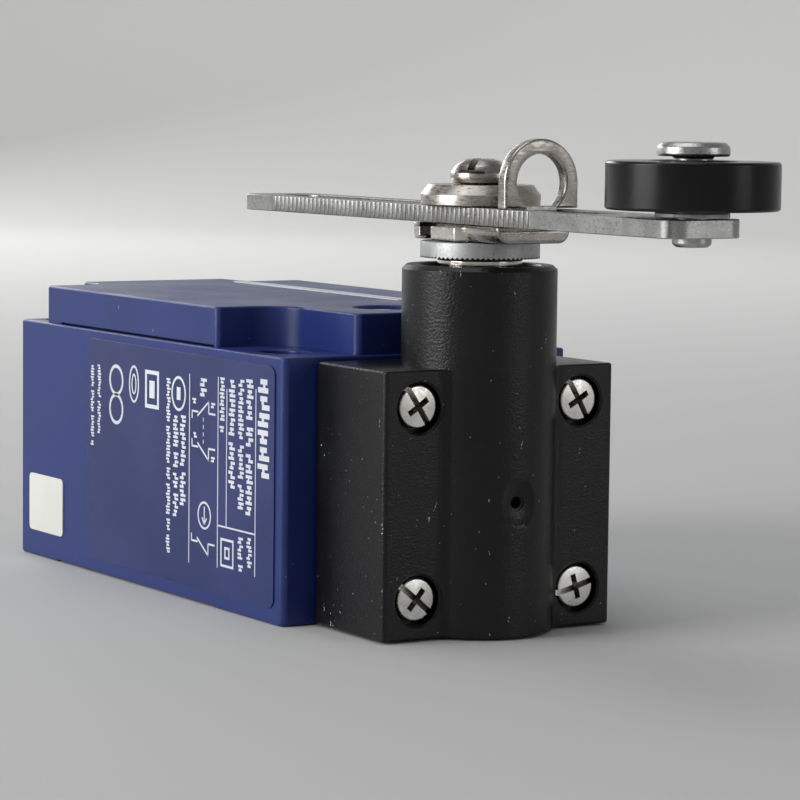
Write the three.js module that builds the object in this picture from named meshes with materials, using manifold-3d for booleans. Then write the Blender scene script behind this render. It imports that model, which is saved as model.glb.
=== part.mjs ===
// A position (limit) switch: a plastic case with a screwed cover, a snap-in contact block, and a black
// rotary head whose shaft carries an adjustable slotted arm with a roller.
// Millimetres, +Z up out of the cover, -Y towards the head, +Y towards the cable entry.
// The origin is the centre of the 30 x 60 fixing pattern, on the flat back of the case.
import * as THREE from "three";
import { mergeVertices } from "three/addons/utils/BufferGeometryUtils.js";
import Module from "manifold-3d";

// ---- Driving dimensions. Inside the switch, y = 0 is the joint between case and head. ----
const FIXING = { width: 30, length: 60, hole: 5.3, slot: 7.3, fromHead: 8.7 };
const CASE = { half: 20, length: 72.5, height: 31.8, wall: 2.8, floor: 3, corner: 0.8 };
const COVER = { half: 19.4, top: 36.7, under: 32.3, near: 0.6, shoulder: 17.55, back: 65.5, end: 72 };
const NECK = { near: 9.73, far: 11, inner: 4.5, corner: 0.9 };
const LAND = { gap: 0.3, depth: 0.1 }; // the fixing screws' heads sit on four lands beside the cover
const ENTRY = { radius: 9.5, z: 16 };
const CHANNEL = { half: 7.2, from: 14 }; // in the case, from the tappet's guide to the contact room
const SPRING_ROOM = { half: 5.5, depth: 12 };
const COVER_SCREW = { y: 9.5, head: 3.4, seat: 4.3, depth: 2.4, boss: 5.8, hole: 2.3, thread: 1.75, reach: 7.3 };
const STUCK_ON = [-20.17, -20.02]; // thickness of the label and the sticker on the left side
const HEAD = { half: 15.8, front: -16, back: -0.4, bottom: 0.2, top: 31.3 };
const COLUMN = { y: -11, radius: 9.1, top: 43, chamfer: 1 };
const DIMPLE = { sphere: 6.6, y: -26 }; // a shallow dish in the front of the column
const HEAD_SCREWS = { x: 11.1, low: 4.75, high: 27, hole: 1.7, recess: 2.95, depth: 2, bore: 1.6, reach: 4.9 };
const TAPPET = { z: 15.9, stem: 2, face: -4.5, pad: 1.6, width: 4.6, height: 4.4, end: 17.8, travel: 3 };
const CAM = { radius: 6.2, flat: 5.1, half: 4.5, chamber: 7, low: 7.5, high: 30.1 };
const SEAL = { outer: 7.1, seat: 7.2, low: 41.75, high: 42.75 };
const BUSH = { outer: 6, low: 30.2, high: 41.4 };
const CLIP = { low: 27.8, high: 28.7, outer: 5.6, play: 0.08 }; // the ring's groove in the shaft
const SHAFT = {
  pivot: 3, journal: 4, collar: 5, neck: 3.4, threads: 2.15, foot: 3, step: 7.8, shoulder: 41.6, top: 46.9,
};
const DISC = { radius: 7, low: 43.8, high: 45.7, teeth: 72, tooth: 0.34 };
const ARM = { half: 5, low: 47.8, high: 49.8, tail: 49, tip: -44.2, corner: 2.3, slot: 2.5, bite: 0.24, pitch: 1 };
const JAW = { low: 45.82, high: 47.72, thick: 0.5, half: 4.95, nose: -11.3, soft: 1.4, back: 7, hexagon: 6.6 };
const ARM_SLOT = { from: -27.2, to: 44 };
const ARM_TEETH = { from: -17.5, to: 40.5 };
const EYE = { low: -12.7, high: -11.1, half: 5.1, hole: 3.15, z: 52.8, foot: 2.2, end: -3.2 };
const WASHER = { low: ARM.high + 0.1, rim: 51.15, high: 52.3, radius: 7, brow: 6.1, bore: 2.3 };
const ROLLER = { y: -41, radius: 9.3, low: 50.6, high: 56, bore: 2.25, hub: 4.6, soft: 0.25, sunk: 0.12 };
const RIVET = { low: 46.8, shank: 2.1, head: 3.9, seat: 56.4, high: 57.9 };
const BLOCK = { half: 16.4, near: 21, far: 51, low: 3.3, high: 22, screw: 36.4 };
const WELL = { half: 8.2, near: 24, wall: 1.8, floor: 9.5 }; // the carrier runs in it
const POCKET = { inner: 8, outer: 15.6, half: 3.9, floor: 15.3 }; // one for each terminal
const BRIDGE = { closed: 30, open: 41.4, thick: 0.8, half: 7.4, low: 14.2, high: 17.6, tip: 1.1, tips: 6 };
const WINDOW = { half: 5, length: 5.4, low: 13.4, high: 18.4 }; // a bridge and its spring sit in each
const CARRIER = { half: 3.5, near: 25.2, far: 45, low: 12.3, high: 19.5, neck: 2.45 };
const POLE = { x: 12.2, closed: 26.6, open: 46.2, low: 15.6, high: 16.6, hole: 1.85 };
const CONTACT_SPRING = { radius: 1.5, wire: 0.22, turns: 4 };
const RETURN_SPRING = { radius: 3.3, wire: 0.4, turns: 6, end: 8.8 };

const COLOURS = {
  blue_plastic: { color: 0x27337f, roughness: 0.42, metalness: 0 },
  black_plastic: { color: 0x1d1d20, roughness: 0.6, metalness: 0 },
  roller_plastic: { color: 0x161618, roughness: 0.35, metalness: 0 },
  rubber: { color: 0x101010, roughness: 0.8, metalness: 0 },
  zinc: { color: 0xa6a8a8, roughness: 0.45, metalness: 1 },
  nickel: { color: 0xd2cfc6, roughness: 0.2, metalness: 1 },
  steel: { color: 0xb4b4b1, roughness: 0.35, metalness: 1 },
  bronze: { color: 0x9c7440, roughness: 0.5, metalness: 1 },
  brass: { color: 0xc9a24a, roughness: 0.3, metalness: 1 },
  grey_plastic: { color: 0x8b8e90, roughness: 0.5, metalness: 0 },
  white_plastic: { color: 0xe6e4dc, roughness: 0.45, metalness: 0 },
  clear_plastic: { color: 0xcfd6d8, roughness: 0.2, metalness: 0 },
  label_film: { color: 0x2a3a8c, roughness: 0.15, metalness: 0 },
  white_film: { color: 0xf0efe6, roughness: 0.35, metalness: 0 },
};

const wasm = await Module();
wasm.setup();

// ---- Solids ----

const BORE_SIDES = 16;

// A closed geometry as a solid, its shared corners merged, its faces turned outwards.
function solid(geometry) {
  const bare = new THREE.BufferGeometry();
  bare.setAttribute("position", geometry.getAttribute("position"));
  bare.setIndex(geometry.getIndex());
  const merged = mergeVertices(bare, 1e-4);
  const points = merged.getAttribute("position").array;
  const faces = [...merged.getIndex().array];
  const kept = [];
  let volume = 0;
  const corner = (i) => new THREE.Vector3().fromArray(points, 3 * i);
  for (let i = 0; i < faces.length; i += 3) {
    const [a, b, c] = faces.slice(i, i + 3);
    if (a === b || b === c || c === a) continue;
    kept.push(a, b, c);
    volume += corner(a).dot(corner(b).cross(corner(c)));
  }
  if (volume < 0) kept.reverse();
  const mesh = new wasm.Mesh({ numProp: 3, vertProperties: points, triVerts: new Uint32Array(kept) });
  return new wasm.Manifold(mesh);
}

function geometryOf(manifold) {
  const mesh = manifold.getMesh();
  const geometry = new THREE.BufferGeometry();
  geometry.setAttribute("position", new THREE.BufferAttribute(mesh.vertProperties, 3));
  geometry.setIndex(new THREE.BufferAttribute(mesh.triVerts, 1));
  geometry.computeVertexNormals();
  return geometry;
}

const join = (first, ...others) => others.reduce((all, next) => all.add(next), first);
const cut = (first, ...others) => others.reduce((rest, tool) => rest.subtract(tool), first);

// A box given by its [low, high] along each axis.
function block(x, y, z) {
  const box = new THREE.BoxGeometry(x[1] - x[0], y[1] - y[0], z[1] - z[0]);
  box.translate((x[0] + x[1]) / 2, (y[0] + y[1]) / 2, (z[0] + z[1]) / 2);
  return solid(box);
}

// A cylinder along Z, at [x, y].
function disc(radius, z, at = [0, 0], sides = 24) {
  const cylinder = new THREE.CylinderGeometry(radius, radius, z[1] - z[0], sides);
  cylinder.rotateX(Math.PI / 2);
  cylinder.translate(at[0], at[1], (z[0] + z[1]) / 2);
  return solid(cylinder);
}

// A flat ring about Z.
function ring(inner, outer, z, sides = 24) {
  return cut(disc(outer, z, [0, 0], sides), disc(inner, [z[0] - 1, z[1] + 1], [0, 0], sides));
}

// A cylinder along Y, at [x, z].
function bar(radius, y, at = [0, 0], sides = 20) {
  const cylinder = new THREE.CylinderGeometry(radius, radius, y[1] - y[0], sides);
  cylinder.translate(at[0], (y[0] + y[1]) / 2, at[1]);
  return solid(cylinder);
}

// A profile of [radius, z] points turned about Z.
function turned(profile, sides = 24) {
  const lathe = new THREE.LatheGeometry(profile.map(([r, z]) => new THREE.Vector2(r, z)), sides);
  lathe.rotateX(Math.PI / 2);
  return solid(lathe);
}

// An outline whose corners [x, y, radius] are rounded, inwards or outwards.
function outline(corners, steps = 4) {
  const points = [];
  corners.forEach(([x, y, radius = 0], i) => {
    const here = new THREE.Vector2(x, y);
    const before = new THREE.Vector2(...corners.at(i - 1).slice(0, 2)).sub(here).normalize();
    const after = new THREE.Vector2(...corners[(i + 1) % corners.length].slice(0, 2)).sub(here).normalize();
    if (!radius) {
      points.push(here);
      return;
    }
    const half = Math.acos(before.dot(after)) / 2;
    const middle = before.clone().add(after).normalize().multiplyScalar(radius / Math.sin(half)).add(here);
    const start = before.multiplyScalar(radius / Math.tan(half)).add(here).sub(middle).angle();
    const end = after.multiplyScalar(radius / Math.tan(half)).add(here).sub(middle).angle();
    const turn = THREE.MathUtils.euclideanModulo(end - start + Math.PI, 2 * Math.PI) - Math.PI;
    for (let k = 0; k <= steps; k++) {
      const angle = start + (turn * k) / steps;
      points.push(new THREE.Vector2(Math.cos(angle), Math.sin(angle)).multiplyScalar(radius).add(middle));
    }
  });
  return new THREE.Shape(points);
}

// An outline in X and Y, extruded over z = [low, high].
function plate(shape, z) {
  const slab = new THREE.ExtrudeGeometry(shape, { depth: z[1] - z[0], bevelEnabled: false });
  slab.translate(0, 0, z[0]);
  return solid(slab);
}

// An outline in X and Z, extruded over y = [low, high].
function upright(shape, y) {
  const slab = new THREE.ExtrudeGeometry(shape, { depth: y[1] - y[0], bevelEnabled: false });
  slab.rotateX(Math.PI / 2);
  slab.translate(0, y[1], 0);
  return solid(slab);
}

// An outline in Y and Z, extruded over x = [low, high].
function sideways(shape, x) {
  const slab = new THREE.ExtrudeGeometry(shape, { depth: x[1] - x[0], bevelEnabled: false });
  const axes = [new THREE.Vector3(0, 1, 0), new THREE.Vector3(0, 0, 1), new THREE.Vector3(1, 0, 0)];
  slab.applyMatrix4(new THREE.Matrix4().makeBasis(...axes));
  slab.translate(x[0], 0, 0);
  return solid(slab);
}

// A rectangle with equal round corners, about a middle.
function rectangle(halfX, halfY, radius, at = [0, 0]) {
  const signs = [[1, -1], [1, 1], [-1, 1], [-1, -1]];
  return outline(signs.map(([sx, sy]) => [at[0] + sx * halfX, at[1] + sy * halfY, radius]));
}

// A screw standing on z = 0: the head above, the shank below, a slot and a cross in the head.
function screw({ head, height, shank, length, slot, cross = 0, sides = 16 }) {
  const rim = height * 0.45;
  const profile = [
    [0, -length],
    [shank - 0.35, -length],
    [shank, -length + 0.6],
    [shank, 0],
    [head, 0],
    [head, rim],
    [head * 0.86, height * 0.82],
    [head * 0.55, height],
    [0, height],
  ];
  let made = turned(profile, sides);
  const floor = height - 1.15;
  made = cut(made, block([-head - 1, head + 1], [-slot / 2, slot / 2], [floor, height + 1]));
  if (cross) made = cut(made, block([-slot / 2, slot / 2], [-cross, cross], [floor - 0.3, height + 1]));
  return made;
}

// A helix about Y, for a compression spring.
class Helix extends THREE.Curve {
  constructor(radius, y, turns, z) {
    super();
    Object.assign(this, { radius, y, turns, z });
  }
  getPoint(t, target = new THREE.Vector3()) {
    const angle = 2 * Math.PI * this.turns * t;
    const y = THREE.MathUtils.lerp(this.y[0], this.y[1], t);
    return target.set(this.radius * Math.cos(angle), y, this.z + this.radius * Math.sin(angle));
  }
}

function spring({ radius, wire, turns }, y, z) {
  const section = new THREE.Shape(new THREE.EllipseCurve(0, 0, wire, wire, 0, 2 * Math.PI).getPoints(5).slice(0, 5));
  const path = new Helix(radius, [y[0] + wire, y[1] - wire], turns, z);
  return solid(new THREE.ExtrudeGeometry(section, { steps: Math.round(turns * 9), extrudePath: path }));
}

// ---- The scene graph ----

const limitSwitch = new THREE.Group();
const inside = new THREE.Group(); // y = 0 at the joint between case and head
inside.position.y = -(FIXING.fromHead + FIXING.length / 2);
limitSwitch.add(inside);
const lever = new THREE.Group(); // x = y = 0 on the shaft's axis
lever.position.y = COLUMN.y;
inside.add(lever);

function add(group, name, colour, made, place = {}) {
  const mesh = new THREE.Mesh(geometryOf(made), new THREE.MeshStandardMaterial(COLOURS[colour]));
  mesh.name = name;
  if (place.at) mesh.position.set(...place.at);
  if (place.turn) mesh.rotation.set(...place.turn);
  group.add(mesh);
}

// ---- Case and cover ----

// The cover's outline, drawn in by an inset: two necks between the four fixing lands.
function coverOutline(inset, end = COVER.end) {
  const near = NECK.near - inset;
  const far = NECK.far - inset;
  const half = COVER.half - inset;
  const outer = Math.max(NECK.corner - inset, 0.3);
  const inner = NECK.inner + inset;
  const right = [
    [near, COVER.near + inset, outer],
    [near, COVER.shoulder + inset, inner],
    [half, COVER.shoulder + inset, outer],
    [half, COVER.back - inset, outer],
    [far, COVER.back - inset, 2 + inset],
    [far, end - inset, outer],
  ];
  const left = right.map(([x, y, radius]) => [-x, y, radius]).reverse();
  return outline([...right, ...left]);
}

function fixingHoles(z) {
  const x = FIXING.width / 2;
  const near = FIXING.fromHead;
  const far = near + FIXING.length;
  const radius = FIXING.hole / 2;
  const stretch = (FIXING.slot - FIXING.hole) / 2;
  return [-x, x].flatMap((side) => [
    disc(radius, z, [side, near - stretch], 20),
    disc(radius, z, [side, near + stretch], 20),
    block([side - radius, side + radius], [near - stretch, near + stretch], z),
    disc(radius, z, [side, far], 20),
  ]);
}

// The space over the four lands, clear of the cover's outline.
function fixingLands() {
  const { half, length, height } = CASE;
  const near = NECK.near + LAND.gap;
  const far = NECK.far + LAND.gap;
  const shoulder = COVER.shoulder - LAND.gap;
  const back = COVER.back + LAND.gap;
  const z = [height - LAND.depth, height + 1];
  return [-1, 1].flatMap((side) => [
    [[near, -1], [half + 1, -1], [half + 1, shoulder], [near + NECK.inner, shoulder], [near, shoulder - NECK.inner]],
    [[far, back], [half + 1, back], [half + 1, length + 1], [far, length + 1]],
  ].map((corners) => plate(outline(corners.map(([x, y]) => [side * x, y])), z)));
}

function bodyShell() {
  const { half, length, height, wall, floor, corner } = CASE;
  const middle = length / 2;
  const room = [half - wall, COVER.shoulder + 2.5, COVER.back - 2.5];
  const outer = plate(rectangle(half, middle, corner, [0, middle]), [0, height]);
  const screwBores = [-1, 1].flatMap((side) =>
    [HEAD_SCREWS.low, HEAD_SCREWS.high].map((z) =>
      bar(HEAD_SCREWS.bore, [-1, HEAD_SCREWS.reach], [side * HEAD_SCREWS.x, z], 12)),
  );
  return cut(
    outer,
    plate(rectangle(room[0], (room[2] - room[1]) / 2, 2, [0, (room[1] + room[2]) / 2]), [floor, height + 1]),
    block([-CHANNEL.half, CHANNEL.half], [CHANNEL.from, room[1] + 3], [floor, height + 1]),
    block([-SPRING_ROOM.half, SPRING_ROOM.half], [-1, SPRING_ROOM.depth],
      [TAPPET.z - SPRING_ROOM.half, TAPPET.z + SPRING_ROOM.half]),
    bar(TAPPET.stem + 0.25, [SPRING_ROOM.depth - 1, CHANNEL.from + 1], [0, TAPPET.z]), // guide of the tappet
    bar(ENTRY.radius, [room[2] - 1, length + 1], [0, ENTRY.z], 32),
    disc(COVER_SCREW.thread, [height - COVER_SCREW.reach, height + 1], [0, COVER_SCREW.y], BORE_SIDES),
    ...fixingLands(),
    ...fixingHoles([-1, height + 1]),
    ...screwBores,
  );
}

function cover() {
  const at = [0, COVER_SCREW.y];
  const shell = cut(
    plate(coverOutline(0), [COVER.under, COVER.top]),
    plate(coverOutline(2.6, COVER.back + 3), [COVER.under - 1, COVER.top - 2]),
  );
  return cut(
    join(shell, disc(COVER_SCREW.boss, [COVER.under, COVER.top - 1], at)),
    disc(COVER_SCREW.hole, [COVER.under - 1, COVER.top + 1], at, 20),
    disc(COVER_SCREW.seat, [COVER.top - COVER_SCREW.depth, COVER.top + 1], at),
  );
}

add(inside, "body_shell", "blue_plastic", bodyShell());
add(inside, "cover", "blue_plastic", cover());
add(inside, "cover_gasket", "rubber", cut(
  plate(coverOutline(0.6), [CASE.height + 0.05, COVER.under - 0.05]),
  plate(coverOutline(2.4, COVER.back + 3), [CASE.height - 1, COVER.under + 1]),
  disc(COVER_SCREW.hole + 0.3, [CASE.height - 1, COVER.under + 1], [0, COVER_SCREW.y], 20),
));
add(inside, "cover_screw", "nickel", screw({ head: COVER_SCREW.head, height: 2, shank: 1.6, length: 8.6, slot: 1 }),
  { at: [0, COVER_SCREW.y, COVER.top - COVER_SCREW.depth + 0.15], turn: [0, 0, 0.6] });
add(inside, "side_label", "label_film", block(STUCK_ON, [1.75, 51.2], [1.9, 30.7]));
add(inside, "maker_sticker", "white_film", block(STUCK_ON, [59, 69.3], [3.5, 11.2]));
add(inside, "cover_stripe", "white_film", block([8.2, 10.5], [20.5, 64], [COVER.top + 0.02, COVER.top + 0.12]));

// ---- Contact block ----

function contactBase() {
  const { half, near, far, low, high, screw: hole } = BLOCK;
  const tool = [block([-WELL.half, WELL.half], [WELL.near, far - WELL.wall], [WELL.floor, high + 1])];
  for (const side of [-1, 1]) {
    for (const y of [POLE.closed, POLE.open]) {
      const reach = [side * POCKET.outer, side * POCKET.inner].sort((a, b) => a - b);
      tool.push(block(reach, [y - POCKET.half, y + POCKET.half], [POCKET.floor, high + 1]));
      tool.push(disc(1.7, [10, POCKET.floor + 1], [side * POLE.x, y], 14));
    }
    tool.push(disc(1.7, [low - 1, high + 1], [side * POLE.x, hole], BORE_SIDES));
  }
  tool.push(bar(CARRIER.neck + 0.3, [near - 1, WELL.near + 1], [0, TAPPET.z], 20));
  return cut(block([-half, half], [near, far], [low, high]), ...tool);
}

// A terminal: a pad under the wire clamp, and a blade that faces the bridge.
function terminal(side, y, blade) {
  const { low, high, x, hole } = POLE;
  const span = (a, b) => [side * a, side * b].sort((p, q) => p - q);
  const face = [blade - 0.5, blade + 0.5];
  const pad = block(span(8.6, 14.8), [y - 3.4, y + 3.4], [low, high]);
  const neck = block(span(7.6, 9.6), [Math.min(y, face[0]), Math.max(y, face[1])], [low, high]);
  const arm = block(span(4.6, 8), face, [TAPPET.z - 2.3, TAPPET.z + 2.3]);
  return cut(join(pad, neck, arm), disc(hole, [low - 1, high + 1], [side * x, y], BORE_SIDES));
}

function carrier() {
  const { half, near, far, low, high, neck } = CARRIER;
  const { closed, open, thick } = BRIDGE;
  const last = open + thick + 0.15;
  const across = [-WINDOW.half, WINDOW.half];
  return cut(
    join(
      block([-half, half], [near, far], [low, high]),
      bar(neck, [TAPPET.end + 0.25, near + 0.4], [0, TAPPET.z], 20),
    ),
    block(across, [closed - 0.4, closed - 0.4 + WINDOW.length], [WINDOW.low, WINDOW.high]),
    block(across, [last - WINDOW.length, last], [WINDOW.low, WINDOW.high]),
  );
}

// A bridge has a contact tip near each end, on the face that meets the blades.
function bridge(y, facing) {
  const { half, thick, low, high, tip, tips } = BRIDGE;
  const face = facing > 0 ? [y + thick - 0.1, y + thick + 0.35] : [y - 0.05, y + 0.1];
  const pair = [-1, 1].map((side) => bar(tip, face, [side * tips, TAPPET.z], 14));
  return join(block([-half, half], [y, y + thick], [low, high]), ...pair);
}

add(inside, "contact_block_base", "grey_plastic", contactBase());
add(inside, "contact_block_cap", "clear_plastic", block([-7.9, 7.9], [24.3, 48.9], [20.6, 21.8]));
add(inside, "bridge_carrier", "white_plastic", carrier());
add(inside, "break_bridge", "brass", bridge(BRIDGE.closed, -1));
add(inside, "make_bridge", "brass", bridge(BRIDGE.open, 1));
add(inside, "break_contact_spring", "steel", spring(CONTACT_SPRING, [31.05, 34.75], TAPPET.z));
add(inside, "make_contact_spring", "steel", spring(CONTACT_SPRING, [37.15, 41.15], TAPPET.z));
for (const [side, hand] of [[-1, "left"], [1, "right"]]) {
  for (const [kind, y, blade] of [
    ["break", POLE.closed, BRIDGE.closed - 0.8],
    ["make", POLE.open, BRIDGE.open + BRIDGE.thick + TAPPET.travel + 0.95],
  ]) {
    const x = side * POLE.x;
    add(inside, `${kind}_terminal_${hand}`, "brass", terminal(side, y, blade));
    const clamp = block([x - 2.6, x + 2.6], [y - 2.9, y + 2.9], [POLE.high + 0.15, POLE.high + 1.05]);
    add(inside, `${kind}_wire_clamp_${hand}`, "steel", cut(clamp, disc(POLE.hole, [16, 19], [x, y], BORE_SIDES)));
    add(inside, `${kind}_terminal_screw_${hand}`, "zinc",
      screw({ head: 2.9, height: 2.1, shank: 1.6, length: 6.2, slot: 0.8, cross: 1.5, sides: 12 }),
      { at: [x, y, 17.8], turn: [0, 0, 0.4 + y + side] });
  }
  add(inside, `block_screw_${hand}`, "zinc",
    screw({ head: 2.7, height: 1.9, shank: 1.5, length: 18.2, slot: 0.8, sides: 12 }),
    { at: [side * POLE.x, BLOCK.screw, BLOCK.high + 0.1], turn: [0, 0, side] });
}

// ---- Head ----

function headHousing() {
  const { half, front, back, bottom, top } = HEAD;
  const middle = (front + back) / 2;
  const sides = rectangle(half, (back - front) / 2, 0.6, [0, middle]);
  const tower = turned([
    [0, bottom],
    [COLUMN.radius, bottom],
    [COLUMN.radius, COLUMN.top - COLUMN.chamfer],
    [COLUMN.radius - COLUMN.chamfer, COLUMN.top],
    [0, COLUMN.top],
  ], 48).translate([0, COLUMN.y, 0]);
  const at = [0, COLUMN.y];
  const tools = [
    disc(SEAL.seat, [COLUMN.top - 1.4, COLUMN.top + 1], at, 28),
    disc(BUSH.outer + 0.1, [CAM.high - 0.1, COLUMN.top], at),
    disc(CAM.chamber, [CAM.low, CAM.high], at),
    disc(SHAFT.pivot + 0.06, [SHAFT.foot - 0.2, SHAFT.step + 0.2], at), // lower bearing
    block([-7, 7], [COLUMN.y, 1], [8.5, 24.5]), // the mechanism goes in from behind
    solid(new THREE.SphereGeometry(DIMPLE.sphere, 24, 18).translate(0, DIMPLE.y, TAPPET.z)),
  ];
  for (const side of [-1, 1]) {
    for (const z of [HEAD_SCREWS.low, HEAD_SCREWS.high]) {
      const place = [side * HEAD_SCREWS.x, z];
      tools.push(bar(HEAD_SCREWS.hole, [front - 1, back + 1], place, 20));
      tools.push(bar(HEAD_SCREWS.recess, [front - 1, front + HEAD_SCREWS.depth], place));
    }
  }
  return cut(join(plate(sides, [bottom, top]), tower), ...tools);
}

function headGasket() {
  const y = [HEAD.back + 0.05, -0.05];
  const middle = (HEAD.bottom + HEAD.top) / 2;
  const holes = [-1, 1].flatMap((side) =>
    [HEAD_SCREWS.low, HEAD_SCREWS.high].map((z) => bar(1.9, [-1, 1], [side * HEAD_SCREWS.x, z], 16)),
  );
  const sheet = upright(rectangle(HEAD.half - 0.8, HEAD.top / 2 - 1.2, 1, [0, middle]), y);
  return cut(sheet, upright(rectangle(7.4, 8.4, 1.5, [0, TAPPET.z + 0.6]), [-1, 1]), ...holes);
}

add(inside, "head_housing", "black_plastic", headHousing());
add(inside, "head_gasket", "rubber", headGasket());
for (const [side, hand, tilts] of [[-1, "left", [0.66, 0.98]], [1, "right", [-0.26, 1.02]]]) {
  [["lower", HEAD_SCREWS.low], ["upper", HEAD_SCREWS.high]].forEach(([height, z], i) => {
    add(inside, `head_screw_${height}_${hand}`, "nickel",
      screw({ head: 2.5, height: 1.5, shank: 1.5, length: 17.7, slot: 0.75, cross: 1.5 }),
      { at: [side * HEAD_SCREWS.x, HEAD.front + HEAD_SCREWS.depth - 0.1, z], turn: [Math.PI / 2, 0, tilts[i]] });
  });
}

const bearing = new THREE.Group();
bearing.position.y = COLUMN.y;
inside.add(bearing);
add(bearing, "shaft_bush", "bronze", ring(SHAFT.journal + 0.06, BUSH.outer, [BUSH.low, BUSH.high]));
add(bearing, "shaft_seal", "rubber", ring(SHAFT.collar + 0.08, SEAL.outer, [SEAL.low, SEAL.high]));

function tappet() {
  const { z, stem, face, pad, width, height, end } = TAPPET;
  return join(
    block([-width, width], [face, face + pad], [z - height, z + height]),
    bar(stem, [face + 1, end], [0, z], 20),
  );
}
add(inside, "tappet", "white_plastic", tappet());
add(inside, "return_spring", "steel",
  spring(RETURN_SPRING, [TAPPET.face + TAPPET.pad + 0.15, RETURN_SPRING.end], TAPPET.z));

// ---- Shaft and lever, about the shaft's axis ----

function shaft() {
  const { pivot, journal, collar, neck, threads, foot, step, shoulder, top } = SHAFT;
  const body = turned([
    [0, foot],
    [pivot, foot],
    [pivot, step],
    [journal, step],
    [journal, CLIP.low],
    [journal - 0.5, CLIP.low],
    [journal - 0.5, CLIP.high],
    [journal, CLIP.high],
    [journal, shoulder],
    [collar, shoulder],
    [collar, DISC.low - 0.1],
    [neck, DISC.low - 0.1],
    [neck, top],
    [0, top],
  ]);
  return cut(body, disc(threads, [34, top + 1], [0, 0], 20));
}

// The cam: a disc with one flat, that the tappet rests on.
function cam() {
  const { radius, flat, half } = CAM;
  const z = [TAPPET.z - half, TAPPET.z + half];
  return cut(disc(radius, z, [0, 0], 40), block([-8, 8], [flat, 8], [5, 30]), disc(SHAFT.journal + 0.06, [5, 30]));
}

// The disc's lower rim is a crown of teeth: every second point of the rim is lifted.
function serratedDisc() {
  const sides = 2 * DISC.teeth;
  const profile = [
    [SHAFT.neck + 0.1, DISC.low + 0.45],
    [DISC.radius, DISC.low],
    [DISC.radius, DISC.high],
    [SHAFT.neck + 0.1, DISC.high],
    [SHAFT.neck + 0.1, DISC.low + 0.45],
  ];
  const lathe = new THREE.LatheGeometry(profile.map(([r, z]) => new THREE.Vector2(r, z)), sides);
  const points = lathe.getAttribute("position");
  for (let i = 0; i < points.count; i++) {
    const step = Math.floor(i / profile.length) % 2;
    if (step && points.getY(i) === Math.fround(DISC.low)) points.setY(i, DISC.low + DISC.tooth);
  }
  lathe.rotateX(Math.PI / 2);
  return solid(lathe);
}

// Under the arm: a hexagonal boss, a thin plate, a tab with soft lower corners, and two hooked lugs behind.
function clampJaw() {
  const { low, high, thick, half, nose, soft, hexagon, back } = JAW;
  const middle = high - thick / 2;
  const boss = disc(hexagon, [low, middle], [0, 0], 6);
  const top = block([-half, half], [nose, back], [high - thick, high]);
  const under = low + 0.02;
  const side = half - 0.05;
  const tab = upright(outline([[-side, under, soft], [side, under, soft], [side, middle], [-side, middle]]),
    [nose + 0.05, -2]);
  const hook = outline([
    [back - 0.1, under], [back - 0.1, middle], [back - 1.5, middle], [back - 1.5, low + thick],
    [back - 2.8, low + thick], [back - 2.8, under],
  ]);
  return cut(
    join(boss, top, tab, sideways(hook, [-side, 1.6 - side]), sideways(hook, [side - 1.6, side])),
    disc(SHAFT.neck + 0.1, [low - 1, high + 1]),
  );
}

// The arm: blunt ends with rounded corners, toothed edges, and a slot through it.
function armOutline() {
  const { half, tail, tip, corner, slot, bite, pitch } = ARM;
  const right = [];
  for (let y = ARM_TEETH.from; y < ARM_TEETH.to - pitch / 2; y += pitch) {
    right.push([half, y], [half - bite, y + pitch / 2]);
  }
  right.push([half, ARM_TEETH.to]);
  const left = right.map(([x, y]) => [-x, y]).reverse();
  const arc = (x, y, radius, from, to, steps) =>
    new THREE.EllipseCurve(x, y, radius, radius, from * Math.PI, to * Math.PI).getPoints(steps);
  const shape = new THREE.Shape([
    ...right.map((point) => new THREE.Vector2(...point)),
    ...arc(half - corner, tail - corner, corner, 0, 0.5, 6),
    ...arc(corner - half, tail - corner, corner, 0.5, 1, 6),
    ...left.map((point) => new THREE.Vector2(...point)),
    ...arc(corner - half, tip + corner, corner, 1, 1.5, 6),
    ...arc(half - corner, tip + corner, corner, 1.5, 2, 6),
  ]);
  const ends = [...arc(0, ARM_SLOT.to - slot, slot, 0, 1, 10), ...arc(0, ARM_SLOT.from + slot, slot, 1, 2, 10)];
  shape.holes.push(new THREE.Path(ends));
  return shape;
}

function eyeBracket() {
  const { low, high, half, hole, z, foot: width, end } = EYE;
  const base = ARM.high + 0.15;
  const sunk = ARM.low + 0.3;
  const head = outline([
    [half, base, 0.3], [half, z, 0], [half, z + half, half - 0.02], [-half, z + half, half - 0.02],
    [-half, z, 0], [-half, base, 0.3],
  ], 12);
  const loop = cut(upright(head, [low, high]), bar(hole, [low - 1, high + 1], [0, z], 32));
  const foot = block([-width, width], [low, end], [sunk, ARM.high - 0.05]);
  return join(loop, foot, block([-width, width], [low, high], [sunk, ARM.high + 0.4]));
}

add(lever, "lever_shaft", "nickel", shaft());
add(lever, "cam", "steel", cam());
add(lever, "retaining_ring", "steel", cut(
  ring(SHAFT.journal - 0.42, CLIP.outer, [CLIP.low + CLIP.play, CLIP.high - CLIP.play]),
  block([-2, 2], [-8, 0], [20, 40])));
add(lever, "serrated_disc", "zinc", serratedDisc());
add(lever, "clamp_jaw", "steel", clampJaw());
add(lever, "lever_arm", "steel", cut(plate(armOutline(), [ARM.low, ARM.high]),
  disc(ROLLER.bore, [ARM.low - 1, ARM.high + 1], [0, ROLLER.y], 24)));
add(lever, "eye_bracket", "steel", eyeBracket());
add(lever, "clamp_washer", "steel", turned([
  [WASHER.bore, WASHER.low], [WASHER.radius, WASHER.low], [WASHER.radius, WASHER.rim], [WASHER.brow, WASHER.high],
  [WASHER.bore, WASHER.high], [WASHER.bore, WASHER.low],
], 32));
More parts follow.
